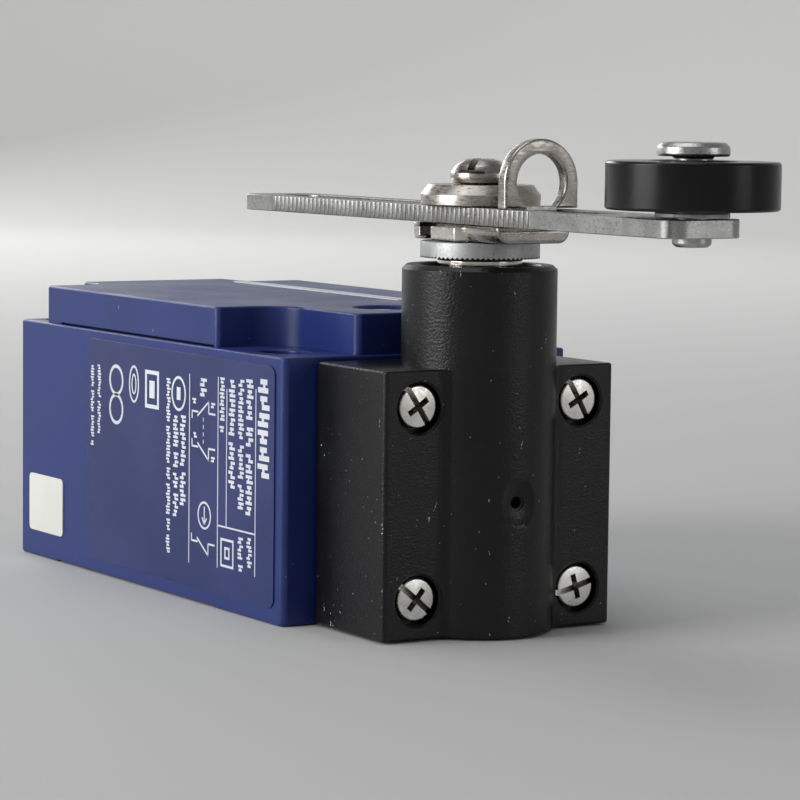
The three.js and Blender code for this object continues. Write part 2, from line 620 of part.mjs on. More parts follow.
add(lever, "clamp_screw", "steel", screw({ head: 3.9, height: 2.9, shank: 2, length: 16, slot: 1, cross: 2 }),
  { at: [0, 0, WASHER.high + 0.1], turn: [0, 0, 0.63] });
add(lever, "roller_washer", "steel", ring(ROLLER.bore + 0.05, 4, [ARM.high + 0.15, ROLLER.low - 0.15]),
  { at: [0, ROLLER.y, 0] });

// The roller's faces are sunk a little outside the hub.
function roller() {
  const { radius, low, high, bore, hub, soft, sunk } = ROLLER;
  return turned([
    [bore, low],
    [hub, low],
    [hub + 0.15, low + sunk],
    [radius - soft, low + sunk],
    [radius, low + sunk + soft],
    [radius, high - sunk - soft],
    [radius - soft, high - sunk],
    [hub + 0.15, high - sunk],
    [hub, high],
    [bore, high],
    [bore, low],
  ], 40);
}

function rivet() {
  const { low, shank, head, seat, high } = RIVET;
  return turned([
    [0, low], [shank - 0.3, low], [shank, low + 0.35], [shank, seat], [head, seat], [head, high - 0.5],
    [head - 0.5, high - 0.05], [0, high],
  ]);
}

add(lever, "roller", "roller_plastic", roller(), { at: [0, ROLLER.y, 0] });
add(lever, "roller_rivet", "steel", rivet(), { at: [0, ROLLER.y, 0] });

export default limitSwitch;
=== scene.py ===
"""A roller-lever limit switch: blue plastic case and cover, black rotary head, steel lever with a roller.

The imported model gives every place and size; the pieces here stand for its nodes with finer surfaces.
Lengths are in millimetres until a mesh is made, and angles in radians unless a name says degrees.
"""
import math

import bmesh
import bpy
import numpy as np
from mathutils import Matrix, Vector
from mathutils.geometry import tessellate_polygon


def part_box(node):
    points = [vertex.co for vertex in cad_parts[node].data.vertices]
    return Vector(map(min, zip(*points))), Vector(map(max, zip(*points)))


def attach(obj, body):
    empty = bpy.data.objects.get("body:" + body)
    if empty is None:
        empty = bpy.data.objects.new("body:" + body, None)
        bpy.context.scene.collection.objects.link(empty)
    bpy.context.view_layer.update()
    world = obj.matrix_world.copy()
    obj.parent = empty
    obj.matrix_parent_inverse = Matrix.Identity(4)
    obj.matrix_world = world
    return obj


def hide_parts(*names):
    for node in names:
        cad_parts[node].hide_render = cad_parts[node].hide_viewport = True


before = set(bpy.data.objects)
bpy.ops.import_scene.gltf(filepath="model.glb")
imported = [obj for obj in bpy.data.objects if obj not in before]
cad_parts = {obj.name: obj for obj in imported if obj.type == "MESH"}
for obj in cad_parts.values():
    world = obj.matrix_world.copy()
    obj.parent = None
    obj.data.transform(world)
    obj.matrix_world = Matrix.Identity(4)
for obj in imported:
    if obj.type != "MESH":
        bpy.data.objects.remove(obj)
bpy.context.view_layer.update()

MM = 0.001
TURN = 2 * math.pi


def span(node):
    """Lowest and highest corner of a node, in millimetres."""
    low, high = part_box(node)
    return np.array(low) / MM, np.array(high) / MM


CASE_LOW, CASE_HIGH = span("body_shell")
COVER_LOW, COVER_HIGH = span("cover")
HEAD_LOW, HEAD_HIGH = span("head_housing")
DISC_LOW, DISC_HIGH = span("serrated_disc")
ARM_LOW, ARM_HIGH = span("lever_arm")
EYE_LOW = span("eye_bracket")[0]
ROLLER_LOW, ROLLER_HIGH = span("roller")
LABEL_LOW, LABEL_HIGH = span("side_label")
STICKER_LOW, STICKER_HIGH = span("maker_sticker")

JOINT = CASE_LOW[1]  # where the case and the head meet, along Y
AXIS = (DISC_LOW[:2] + DISC_HIGH[:2]) / 2  # the lever shaft, in plan
ROLLER_AXIS = (ROLLER_LOW[:2] + ROLLER_HIGH[:2]) / 2
FIXING = (30.0, 60.0)  # hole pattern, about the origin
COVER_SCREW_Y = JOINT + 9.5
TAPPET_Z = 15.9  # height of the tappet, and of the pin hole in the head's front
ENTRY_Z = 16  # height of the cable entry
COLUMN_RADIUS = 9.1
PLASTIC_EDGE = 0.3  # radius of the moulded rims
WALL = 2.8  # thickness of the case's sides

# ---- Camera and lamps ----

YAW, PITCH, ROLL = (math.radians(angle) for angle in (-31.64, -5.33, 0.67))
EYE_POINT = (-203.1, -361.9, 61.7)
LENS = 143.6


def add_camera():
    """The view direction is +Y turned by yaw about Z and by pitch about its own right hand, then rolled."""
    aim = Matrix.Rotation(YAW, 4, "Z") @ Matrix.Rotation(math.pi / 2 + PITCH, 4, "X")
    data = bpy.data.cameras.new("camera")
    data.lens = LENS
    data.clip_start = 0.01
    camera = bpy.data.objects.new("camera", data)
    camera.matrix_world = (
        Matrix.Translation([c * MM for c in EYE_POINT]) @ aim @ Matrix.Rotation(ROLL, 4, "Z")
    )
    bpy.context.scene.collection.objects.link(camera)
    bpy.context.scene.camera = camera


def add_softbox(name, place, target, size, power):
    """A rectangular lamp of size in metres and power in watts, which faces its target."""
    data = bpy.data.lights.new(name, "AREA")
    data.shape = "RECTANGLE"
    data.size, data.size_y = size
    data.energy = power
    lamp = bpy.data.objects.new(name, data)
    lamp.location = place
    lamp.rotation_euler = (Vector(target) - lamp.location).to_track_quat("-Z", "Y").to_euler()
    bpy.context.scene.collection.objects.link(lamp)


# ---- Surfaces ----

UP = np.eye(3)
SIDE = np.array([[0, 1, 0], [0, 0, 1], [1, 0, 0]])  # drawn in Y and Z, thick along X
FRONT = np.array([[1, 0, 0], [0, 0, 1], [0, -1, 0]])  # drawn in X and Z, thick along -Y


def merge(mesh, distance):
    """Joins vertices that lie together, drops faces with no area, and turns every face outwards."""
    work = bmesh.new()
    work.from_mesh(mesh)
    bmesh.ops.remove_doubles(work, verts=work.verts, dist=distance)
    bmesh.ops.dissolve_degenerate(work, edges=work.edges, dist=distance / 10)
    bmesh.ops.recalc_face_normals(work, faces=work.faces)
    work.to_mesh(mesh)
    work.free()


def new_piece(name, points, faces, axes=UP, place=(0, 0, 0), tidy=True):
    """A mesh object from points in millimetres; axes are the directions of the drawing's own x, y and z."""
    points = (np.asarray(points, float) @ axes + np.asarray(place, float)) * MM
    mesh = bpy.data.meshes.new(name)
    mesh.from_pydata(points.tolist(), [], [list(map(int, face)) for face in faces])
    if tidy:
        merge(mesh, 1e-8)
    piece = bpy.data.objects.new(name, mesh)
    bpy.context.scene.collection.objects.link(piece)
    return piece


def arc(centre, radius, start, end, steps):
    """Points on a circle, from one angle to another."""
    angle = np.linspace(start, end, steps + 1)
    return np.stack([centre[0] + radius * np.cos(angle), centre[1] + radius * np.sin(angle)], 1)


def circle(centre, radius, steps=64):
    """A closed outline: a whole turn of arc, without the point that would come twice."""
    return arc(centre, radius, 0, TURN, steps)[:-1]


def half_angle(before, after):
    """Half the angle between two unit vectors."""
    return math.acos(np.clip(before @ after, -1, 1)) / 2


def corner_arc(here, before, after, radius, steps):
    """The arc that touches both sides of a corner; before and after are unit vectors along its sides."""
    half = half_angle(before, after)
    middle = here + (before + after) / np.linalg.norm(before + after) * radius / math.sin(half)
    first, last = (here + side * radius / math.tan(half) - middle for side in (before, after))
    start = math.atan2(first[1], first[0])
    sweep = (math.atan2(last[1], last[0]) - start + math.pi) % TURN - math.pi
    return arc(middle, radius, start, start + sweep, steps)


def rounded(corners, steps=8):
    """A closed outline with an arc at each corner (x, y, radius), or a sharp corner where radius is 0."""
    spots = np.array([corner[:2] for corner in corners], float)
    points = []
    for i, here in enumerate(spots):
        before, after = spots[i - 1] - here, spots[(i + 1) % len(spots)] - here
        before, after = before / np.linalg.norm(before), after / np.linalg.norm(after)
        radius = corners[i][2]
        points.append(corner_arc(here, before, after, radius, steps) if radius else here[None])
    return np.concatenate(points)


def rectangle(low, high, radius, steps=8):
    """A closed outline from the lowest to the highest corner, every corner rounded by radius."""
    corners = [(low[0], low[1]), (high[0], low[1]), (high[0], high[1]), (low[0], high[1])]
    return rounded([(x, y, radius) for x, y in corners], steps)


def inset(loop, distance):
    """Each point moves to its left along the mean of its two sides' normals; both sides move by distance."""
    ahead = np.roll(loop, -1, 0) - loop
    ahead /= np.linalg.norm(ahead, axis=1, keepdims=True)
    left = np.stack([-ahead[:, 1], ahead[:, 0]], 1)
    behind = np.roll(left, 1, 0)
    both = (left + behind) / (1 + (left * behind).sum(1, keepdims=True))
    return loop + both * distance


def wall_profile(low, high, bottom, top, steps=4):
    """(inset, height) up a wall: a quarter circle at the bottom, straight, a quarter circle at the top."""
    angle = np.linspace(0, math.pi / 2, steps + 1)
    foot = [(bottom * (1 - math.sin(a)), low + bottom * (1 - math.cos(a))) for a in angle]
    brim = [(top * (1 - math.cos(a)), high - top * (1 - math.sin(a))) for a in angle]
    return (foot if bottom else [(0, low)]) + (brim if top else [(0, high)])


def lid(loops, height):
    """Triangles that fill one outline with holes in it, as indices into the loops set end to end."""
    flat = [[(x, y, 0) for x, y in loop] for loop in loops]
    points = np.concatenate(loops)
    triangles = []
    for a, b, c in tessellate_polygon(flat):
        side, other = points[b] - points[a], points[c] - points[a]
        turn = side[0] * other[1] - side[1] * other[0]
        triangles.append((a, b, c) if turn > 0 else (a, c, b))
    return np.column_stack([points, np.full(len(points), height)]), triangles


def tube_faces(rows, count):
    """Quads between neighbouring rows of points, where each row is a closed loop of count points."""
    row = np.arange(rows - 1)[:, None] * count
    here = (row + np.arange(count)).ravel()
    beside = (row + (np.arange(count) + 1) % count).ravel()
    return np.stack([here, beside, beside + count, here + count], 1)


def slab(name, outer, holes, low, high, edge, pockets=(), axes=UP, place=(0, 0, 0)):
    """A plate: its wall is a profile carried along each loop, and the two faces fill what is between them.

    Outlines run anticlockwise. edge is the (bottom, top) radius of the rims. A pocket is (outline, floor).
    """
    points, faces = [], []

    def keep(more, cells):
        base = sum(len(p) for p in points)
        points.append(more)
        faces.extend(tuple(base + i for i in cell) for cell in cells)

    def raise_wall(loop, profile):
        rows = [np.column_stack([inset(loop, d), np.full(len(loop), z)]) for d, z in profile]
        keep(np.concatenate(rows), tube_faces(len(rows), len(loop)))
        return rows[0][:, :2], rows[-1][:, :2]

    through = [raise_wall(outer, wall_profile(low, high, *edge))]
    through += [raise_wall(hole[::-1], wall_profile(low, high, *edge)) for hole in holes]
    blind = [raise_wall(loop[::-1], wall_profile(floor, high, 0, edge[1])) for loop, floor in pockets]
    spots, cells = lid([loops[1] for loops in through + blind], high)
    keep(spots, cells)
    spots, cells = lid([loops[0] for loops in through], low)
    keep(spots, [cell[::-1] for cell in cells])
    for loop, floor in pockets:
        keep(*lid([loop], floor))
    return new_piece(name, np.concatenate(points), faces, axes, place)


NEARLY_STRAIGHT = 1.5  # half the angle of a corner that is left as it is


def soften(profile, radius, steps=4):
    """An open profile with every inner corner replaced by an arc, as small as its neighbours need."""
    spots = np.array(profile, float)
    result = [spots[:1]]
    for i in range(1, len(spots) - 1):
        before, after = spots[i - 1] - spots[i], spots[i + 1] - spots[i]
        reach = min(np.linalg.norm(before), np.linalg.norm(after)) * 0.45
        before, after = before / np.linalg.norm(before), after / np.linalg.norm(after)
        half = half_angle(before, after)
        if half > NEARLY_STRAIGHT:
            result.append(spots[i : i + 1])
        else:
            size = min(radius, reach * math.tan(half))
            result.append(corner_arc(spots[i], before, after, size, steps))
    result.append(spots[-1:])
    return np.concatenate(result)


def lathe(name, profile, sides=96, axes=UP, place=(0, 0, 0), lift=None):
    """A profile of (radius, height) turned once round. lift(radius, height, angle) gives new heights."""
    profile = np.asarray(profile, float)
    angle = np.arange(sides) * TURN / sides
    radius, turn = np.meshgrid(profile[:, 0], angle)
    height = np.meshgrid(profile[:, 1], angle)[0]
    if lift:
        height = lift(radius, height, turn)
    points = np.stack([radius * np.cos(turn), radius * np.sin(turn), height], 2).reshape(-1, 3)
    count = len(profile)
    here = (np.arange(sides)[:, None] * count + np.arange(count - 1)).ravel()
    across = (((np.arange(sides) + 1) % sides)[:, None] * count + np.arange(count - 1)).ravel()
    return new_piece(name, points, np.stack([here, across, across + 1, here + 1], 1), axes, place)


def rod(radius, low, high):
    """The profile of a plain cylinder, for lathe."""
    return [(0, low), (radius, low), (radius, high), (0, high)]


def solid_box(name, low, high):
    """A plain cutter, used only to take material away."""
    ends = list(zip(low, high))
    spots = [(x, y, z) for x in ends[0] for y in ends[1] for z in ends[2]]
    faces = [(0, 1, 3, 2), (4, 6, 7, 5), (0, 4, 5, 1), (2, 3, 7, 6), (0, 2, 6, 4), (1, 5, 7, 3)]
    return new_piece(name, spots, faces)


def settle(piece):
    """Makes the piece's modifiers part of its mesh."""
    graph = bpy.context.evaluated_depsgraph_get()
    made = bpy.data.meshes.new_from_object(piece.evaluated_get(graph), depsgraph=graph)
    old = piece.data
    piece.modifiers.clear()
    piece.data = made
    bpy.data.meshes.remove(old)


def combine(piece, tools, operation="DIFFERENCE"):
    """Cuts the tools away from a piece, or joins them to it, and removes them."""
    for tool in tools:
        step = piece.modifiers.new("tool", "BOOLEAN")
        step.operation = operation
        step.solver = "MANIFOLD"
        step.object = tool
    settle(piece)
    merge(piece.data, 2e-7)
    for tool in tools:
        bpy.data.objects.remove(tool)


def finish_piece(piece, body, slot, material, *nodes, sharp=32):
    """Smooth shading with true flats, the piece's material, and its place in the frame."""
    mesh = piece.data
    mesh.polygons.foreach_set("use_smooth", np.ones(len(mesh.polygons), bool))
    mesh.set_sharp_from_angle(angle=math.radians(sharp))
    normals = piece.modifiers.new("flats", "WEIGHTED_NORMAL")
    normals.keep_sharp = True
    settle(piece)
    piece.data.materials.clear()
    piece.data.materials.append(material)
    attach(piece, body)
    if nodes:
        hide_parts(*nodes)


# ---- Materials ----


def put(tree, kind, values=None, **settings):
    """A shader node; a value that is a socket is linked, and any other is set."""
    made = tree.nodes.new(kind)
    for name, value in settings.items():
        setattr(made, name, value)
    for name, value in (values or {}).items():
        if isinstance(value, bpy.types.NodeSocket):
            tree.links.new(value, made.inputs[name])
        else:
            made.inputs[name].default_value = value
    return made


def maths(tree, operation, a, b):
    """The result of one Math node on two values or sockets."""
    return put(tree, "ShaderNodeMath", {0: a, 1: b}, operation=operation).outputs[0]


def spread(tree, value, low, high, start=0.0, end=1.0):
    """A value from low to high, mapped smoothly to start to end."""
    inputs = {"Value": value, "From Min": low, "From Max": high, "To Min": start, "To Max": end}
    return put(tree, "ShaderNodeMapRange", inputs, interpolation_type="SMOOTHSTEP").outputs[0]


def new_group(name, inputs, outputs):
    """A shader node group with named inputs at their usual values, and named outputs."""
    tree = bpy.data.node_groups.new(name, "ShaderNodeTree")
    for label, value in inputs.items():
        tree.interface.new_socket(label, in_out="INPUT", socket_type="NodeSocketFloat").default_value = value
    for label in outputs:
        tree.interface.new_socket(label, in_out="OUTPUT", socket_type="NodeSocketFloat")
    return tree, tree.nodes.new("NodeGroupInput"), tree.nodes.new("NodeGroupOutput")


def grain_group():
    """Spark-eroded mould texture: a fine pebble height, and a slow unevenness over the whole part."""
    tree, given, out = new_group("moulded_grain", {"Pebble": 6000.0, "Drift": 90.0}, ["Height", "Drift"])
    spot = put(tree, "ShaderNodeTexCoord").outputs["Object"]
    fine = put(tree, "ShaderNodeTexNoise", {"Vector": spot, "Scale": given.outputs["Pebble"], "Detail": 2.0})
    slow = put(tree, "ShaderNodeTexNoise", {"Vector": spot, "Scale": given.outputs["Drift"], "Detail": 4.0})
    tree.links.new(fine.outputs[0], out.inputs["Height"])
    tree.links.new(slow.outputs[0], out.inputs["Drift"])
    return tree


def lint_group():
    """Sparse dust: a few cells of two Voronoi patterns, round ones for specks and long ones for threads."""
    tree, given, out = new_group("dust_flecks", {"Cells": 900.0, "Share": 0.06, "Size": 0.06}, ["Mask"])
    spot = put(tree, "ShaderNodeTexCoord").outputs["Object"]
    warp = put(tree, "ShaderNodeTexNoise", {"Vector": spot, "Scale": 1300.0, "Detail": 1.0})
    bend = put(tree, "ShaderNodeVectorMath", {0: warp.outputs["Color"], 1: (0.0011, 0.0011, 0.0011)},
               operation="MULTIPLY")
    moved = put(tree, "ShaderNodeVectorMath", {0: spot, 1: bend.outputs[0]}, operation="ADD").outputs[0]
    masks = []
    for stretch, more in (((1, 1, 1), 1.0), ((1, 0.8, 0.1), 1.4)):
        drawn = put(tree, "ShaderNodeVectorMath", {0: moved, 1: stretch}, operation="MULTIPLY").outputs[0]
        cell = put(tree, "ShaderNodeTexVoronoi", {"Vector": drawn, "Scale": given.outputs["Cells"]})
        lot = put(tree, "ShaderNodeSeparateColor", {"Color": cell.outputs["Color"]}).outputs[0]
        chosen = maths(tree, "LESS_THAN", lot, maths(tree, "MULTIPLY", given.outputs["Share"], more))
        near = maths(tree, "LESS_THAN", cell.outputs["Distance"], given.outputs["Size"])
        masks.append(maths(tree, "MULTIPLY", chosen, near))
    tree.links.new(maths(tree, "MAXIMUM", *masks), out.inputs["Mask"])
    return tree


def brushed_group():
    """Rolled or brushed metal: noise stretched along X, Y or Z by the three scales, with dull patches."""
    inputs = {"Along X": 400.0, "Along Y": 60.0, "Along Z": 400.0}
    tree, given, out = new_group("brushed_metal", inputs, ["Streak", "Patch", "Pit"])
    spot = put(tree, "ShaderNodeTexCoord").outputs["Object"]
    scales = {i: given.outputs[label] for i, label in enumerate(inputs)}
    scale = put(tree, "ShaderNodeCombineXYZ", scales).outputs[0]
    long = put(tree, "ShaderNodeVectorMath", {0: spot, 1: scale}, operation="MULTIPLY").outputs[0]
    streak = put(tree, "ShaderNodeTexNoise", {"Vector": long, "Scale": 12.0, "Detail": 3.0})
    patch = put(tree, "ShaderNodeTexNoise", {"Vector": spot, "Scale": 260.0, "Detail": 5.0})
    pit = put(tree, "ShaderNodeTexNoise", {"Vector": spot, "Scale": 2100.0, "Detail": 2.0})
    tree.links.new(streak.outputs[0], out.inputs["Streak"])
    tree.links.new(spread(tree, patch.outputs[0], 0.4, 0.62), out.inputs["Patch"])
    tree.links.new(spread(tree, pit.outputs[0], 0.26, 0.38), out.inputs["Pit"])
    return tree


GROUPS = {"grain": grain_group(), "lint": lint_group(), "brushed": brushed_group()}


def use(tree, group, **values):
    """One of the groups in a material, with its own values; an underscore stands for a space."""
    made = tree.nodes.new("ShaderNodeGroup")
    made.node_tree = GROUPS[group]
    for name, value in values.items():
        made.inputs[name.replace("_", " ")].default_value = value
    return made


def new_material(name, **plain):
    """A material with its Principled shader; plain are the shader's constant sockets."""
    made = bpy.data.materials.new(name)
    made.use_nodes = True
    shader = made.node_tree.nodes["Principled BSDF"]
    for label, value in plain.items():
        shader.inputs[label.replace("_", " ")].default_value = value
    return made, made.node_tree, shader


def mix(tree, share, a, b):
    """Colour a turning into colour b by share."""
    node = put(tree, "ShaderNodeMix", {0: share}, data_type="RGBA")
    for index, colour in ((6, a), (7, b)):
        if isinstance(colour, bpy.types.NodeSocket):
            tree.links.new(colour, node.inputs[index])
        else:
            node.inputs[index].default_value = (*colour, 1)
    return node.outputs[2]


def bump(tree, shader, height, distance):
    """Fine relief: a height from 0 to 1 stands for distance in millimetres."""
    made = put(tree, "ShaderNodeBump", {"Height": height, "Distance": distance * MM})
    tree.links.new(made.outputs[0], shader.inputs["Normal"])


DUST = (0.42, 0.42, 0.4)
# Near black that metal is turned to where shade is painted on it.
PAINTED_SHADE_TONE = (0.03, 0.025, 0.02)


def moulded(name, colour, light, rough, pebble=6000.0, depth=0.012, dust=0.06, specular=0.5):
    """Moulded plastic: pebble grain, a slow drift of tone and gloss, and a few flecks of dust."""
    made, tree, shader = new_material(name, IOR=1.5, Specular_IOR_Level=specular)
    grain = use(tree, "grain", Pebble=pebble)
    flecks = use(tree, "lint", Share=dust).outputs["Mask"]
    tone = mix(tree, spread(tree, grain.outputs["Drift"], 0.35, 0.7), colour, light)
    tree.links.new(mix(tree, flecks, tone, DUST), shader.inputs["Base Color"])
    gloss = spread(tree, grain.outputs["Drift"], 0.3, 0.75, rough[0], rough[1])
    dull = maths(tree, "MULTIPLY", flecks, 0.4)
    tree.links.new(maths(tree, "ADD", gloss, dull), shader.inputs["Roughness"])
    bump(tree, shader, grain.outputs["Height"], depth)
    return made


def metal(name, colour, dull, rough, along=(400.0, 60.0, 400.0), depth=0.006):
    """Bare or plated metal: long streaks in the tone and the gloss, dull patches, small pits, and painted
    shade from a vertex attribute.
    """
    made, tree, shader = new_material(name, Metallic=1.0)
    marks = use(tree, "brushed", Along_X=along[0], Along_Y=along[1], Along_Z=along[2])
    painted_shade = put(tree, "ShaderNodeAttribute", attribute_name="painted_shade").outputs["Fac"]
    tone = mix(tree, marks.outputs["Patch"], colour, dull)
    # Painted shade: the vertex attribute darkens the tone towards near black.
    tone = mix(tree, maths(tree, "MULTIPLY", painted_shade, 0.9), tone, PAINTED_SHADE_TONE)
    tone = mix(tree, maths(tree, "SUBTRACT", 1.0, marks.outputs["Pit"]), tone, tuple(0.7 * c for c in dull))
    tree.links.new(tone, shader.inputs["Base Color"])
    gloss = spread(tree, marks.outputs["Streak"], 0.3, 0.7, rough[0], rough[1])
    tree.links.new(gloss, shader.inputs["Roughness"])
    height = maths(tree, "ADD", marks.outputs["Streak"], marks.outputs["Pit"])
    bump(tree, shader, height, depth)
    return made


UPRIGHT = (90.0, 90.0, 420.0)  # scales of streaks that lie level and follow each other up the part

MATERIALS = {
    "blue": moulded("case_blue", (0.014, 0.029, 0.16), (0.018, 0.036, 0.185), (0.3, 0.42), depth=0.022,
                    specular=0.42),
    "black": moulded("head_black", (0.004, 0.004, 0.0045), (0.007, 0.007, 0.0075), (0.28, 0.4), 3600.0,
                     0.055, 0.45, 0.34),
    "roller": moulded("roller_black", (0.004, 0.004, 0.0045), (0.007, 0.007, 0.007), (0.2, 0.32), 1400.0,
                      0.005, 0.1, 0.3),
    "rubber": moulded("seal_black", (0.004, 0.004, 0.004), (0.008, 0.008, 0.008), (0.65, 0.85), 3000.0,
                      0.02, 0.02, 0.3),
    "grey": moulded("block_grey", (0.2, 0.205, 0.21), (0.25, 0.255, 0.26), (0.4, 0.55)),
    "white": moulded("carrier_white", (0.7, 0.68, 0.62), (0.78, 0.76, 0.7), (0.35, 0.5)),
    "smoke": moulded("cap_smoke", (0.32, 0.35, 0.37), (0.4, 0.43, 0.45), (0.1, 0.2)),
    "arm": metal("arm_steel", (0.5, 0.5, 0.49), (0.4, 0.4, 0.39), (0.26, 0.42), (300.0, 200.0, 300.0),
                 0.004),
    "clamp": metal("clamp_steel", (0.54, 0.51, 0.46), (0.38, 0.36, 0.33), (0.2, 0.4), UPRIGHT, 0.003),
    "boss": metal("polished_steel", (0.85, 0.82, 0.76), (0.72, 0.69, 0.63), (0.16, 0.34), UPRIGHT, 0.003),
    "bright": metal("bright_nickel", (0.85, 0.8, 0.72), (0.7, 0.65, 0.57), (0.06, 0.16), (80.0, 80.0, 500.0),
                    0.0008),
    "screw": metal("screw_nickel", (0.86, 0.84, 0.8), (0.7, 0.68, 0.64), (0.24, 0.4), (200.0, 200.0, 200.0),
                   0.002),
    "zinc": metal("grey_zinc", (0.46, 0.47, 0.47), (0.37, 0.38, 0.38), (0.46, 0.6), (300.0, 300.0, 300.0),
                  0.003),
    "bronze": metal("bush_bronze", (0.42, 0.27, 0.12), (0.3, 0.2, 0.1), (0.35, 0.5)),
    "brass": metal("contact_brass", (0.72, 0.52, 0.24), (0.6, 0.42, 0.2), (0.2, 0.35)),
    "sticker": moulded("cream_film", (0.76, 0.76, 0.7), (0.82, 0.82, 0.76), (0.3, 0.4), 700.0, 0.002, 0.0),
    "stripe": moulded("white_film", (0.62, 0.63, 0.68), (0.7, 0.71, 0.75), (0.3, 0.4), 700.0, 0.002, 0.0),
    "print": moulded("white_print", (0.7, 0.74, 0.8), (0.78, 0.82, 0.86), (0.3, 0.45), 900.0, 0.002, 0.0),
}


def film_material():
    """Smooth overlay printed dark blue, with a faint ripple from the glue beneath."""
    made, tree, shader = new_material("label_blue", IOR=1.5, Specular_IOR_Level=0.5)
    grain = use(tree, "grain", Pebble=1500.0, Drift=60.0)
    share = spread(tree, grain.outputs["Drift"], 0.35, 0.7)
    tone = mix(tree, share, (0.01, 0.022, 0.122), (0.022, 0.034, 0.155))
    tree.links.new(tone, shader.inputs["Base Color"])
    tree.links.new(spread(tree, grain.outputs["Drift"], 0.3, 0.7, 0.16, 0.24), shader.inputs["Roughness"])
    bump(tree, shader, grain.outputs["Drift"], 0.06)
    return made


MATERIALS["film"] = film_material()

# ---- Case, cover and what is stuck on them ----


def fixing_loops():
    """Four fixing holes: round ones at the cable end, and slots along Y at the head end."""
    radius, stretch = 2.65, 1.0
    loops = []
    for x in (-FIXING[0] / 2, FIXING[0] / 2):
        loops.append(circle((x, FIXING[1] / 2), radius))
        far_end = arc((x, stretch - FIXING[1] / 2), radius, 0, math.pi, 24)
        near_end = arc((x, -FIXING[1] / 2 - stretch), radius, math.pi, TURN, 24)
        loops.append(np.concatenate([far_end, near_end]))
    return loops


def head_screw_places():
    """The four head screws' axes, as (x, z)."""
    names = [f"head_screw_{level}_{hand}" for level in ("lower", "upper") for hand in ("left", "right")]
    spans = [span(name) for name in names]
    return [((low[0] + high[0]) / 2, (low[2] + high[2]) / 2) for low, high in spans]


def case_body():
    """The case: a block with fixing holes, an open room under the cover, and a threaded cable entry."""
    outer = rectangle(CASE_LOW, CASE_HIGH, 0.9)
    room = rectangle((CASE_LOW[0] + WALL, JOINT + 20.05), (CASE_HIGH[0] - WALL, CASE_HIGH[1] - 9.5), 2)
    body = slab("case_body", outer, fixing_loops(), CASE_LOW[2], CASE_HIGH[2], (0.4, PLASTIC_EDGE),
                [(room, 3.0)])
    end = CASE_HIGH[1]
    bore = soften([(0, 0), (9.5, 0), (9.5, 9.9), (10.3, 10.7), (0, 10.7)], 0.01)
    entry = lathe("entry_cut", bore, 96, -FRONT, (0, end - 10.1, ENTRY_Z))
    relief = []
    for side in (-1, 1):
        x = side * 20.5
        relief.append(solid_box(f"relief{side}", (x - 1.6, JOINT + 17, -1), (x + 1.6, JOINT + 61, 0.28)))
    inside = [
        solid_box("channel", (-7.2, JOINT + 14, 3), (7.2, JOINT + 23, 40)),
        solid_box("spring_room", (-5.5, JOINT - 1, TAPPET_Z - 5.5), (5.5, JOINT + 12, TAPPET_Z + 5.5)),
        lathe("guide", rod(2.25, 11, 15), 32, -FRONT, (0, JOINT, TAPPET_Z)),
        lathe("thread", rod(1.75, 24.5, 40), 32, place=(0, COVER_SCREW_Y, 0)),
    ]
    for x, z in head_screw_places():
        inside.append(lathe("bore", rod(1.6, -1, 4.9), 24, -FRONT, (x, JOINT, z)))
    combine(body, [entry, *relief, *inside])
    finish_piece(body, "case", "case_plastic", MATERIALS["blue"], "body_shell")


def entry_thread():
    """A thread inside the entry: the radius is a triangle wave of length plus a share of the turn."""
    pitch, start, end, sides = 1.5, CASE_HIGH[1] - 9.3, CASE_HIGH[1] - 0.9, 96
    along = np.linspace(start, end, 113)
    turn = np.arange(sides + 1) * TURN / sides
    length, angle = np.meshgrid(along, turn)
    wave = np.abs((length / pitch + angle / TURN) % 1 - 0.5) * 2
    fade = np.clip(np.minimum(length - start, end - length) / 0.6, 0, 1)
    radius = 9.42 - 0.62 * wave * fade
    inner = np.stack([radius * np.cos(angle), length, ENTRY_Z + radius * np.sin(angle)], 2)
    first = angle[:, :1]
    outer = np.stack([9.6 * np.cos(first), length[:, :1], ENTRY_Z + 9.6 * np.sin(first)], 2)
    far = outer.copy()
    far[:, :, 1] = end
    points = np.concatenate([outer, inner, far], 1)
    thread = new_piece("entry_thread", points.reshape(-1, 3), tube_faces(*points.shape[:2]))
    finish_piece(thread, "case", "case_plastic", MATERIALS["blue"], sharp=50)


def cover_outline(draw=0.0, end=None):
    """Two necks between the four fixing lands, joined to the wide middle by hollow corners, all drawn in."""
    near, far = 9.73 - draw, 11.0 - draw
    half = COVER_HIGH[0] - draw
    shoulder, back = JOINT + 17.55 + draw, JOINT + 65.5 - draw
    soft = max(0.9 - draw, 0.3)
    right = [
        (near, COVER_LOW[1] + draw, soft),
        (near, shoulder, 4.6 + draw),
        (half, shoulder, max(0.7 - draw, 0.3)),
        (half, back, max(0.7 - draw, 0.3)),
        (far, back, 2.5 + draw),
        (far, (end or COVER_HIGH[1]) - draw, soft),
    ]
    left = [(-x, y, radius) for x, y, radius in reversed(right)]
    return rounded(right + left, 12)


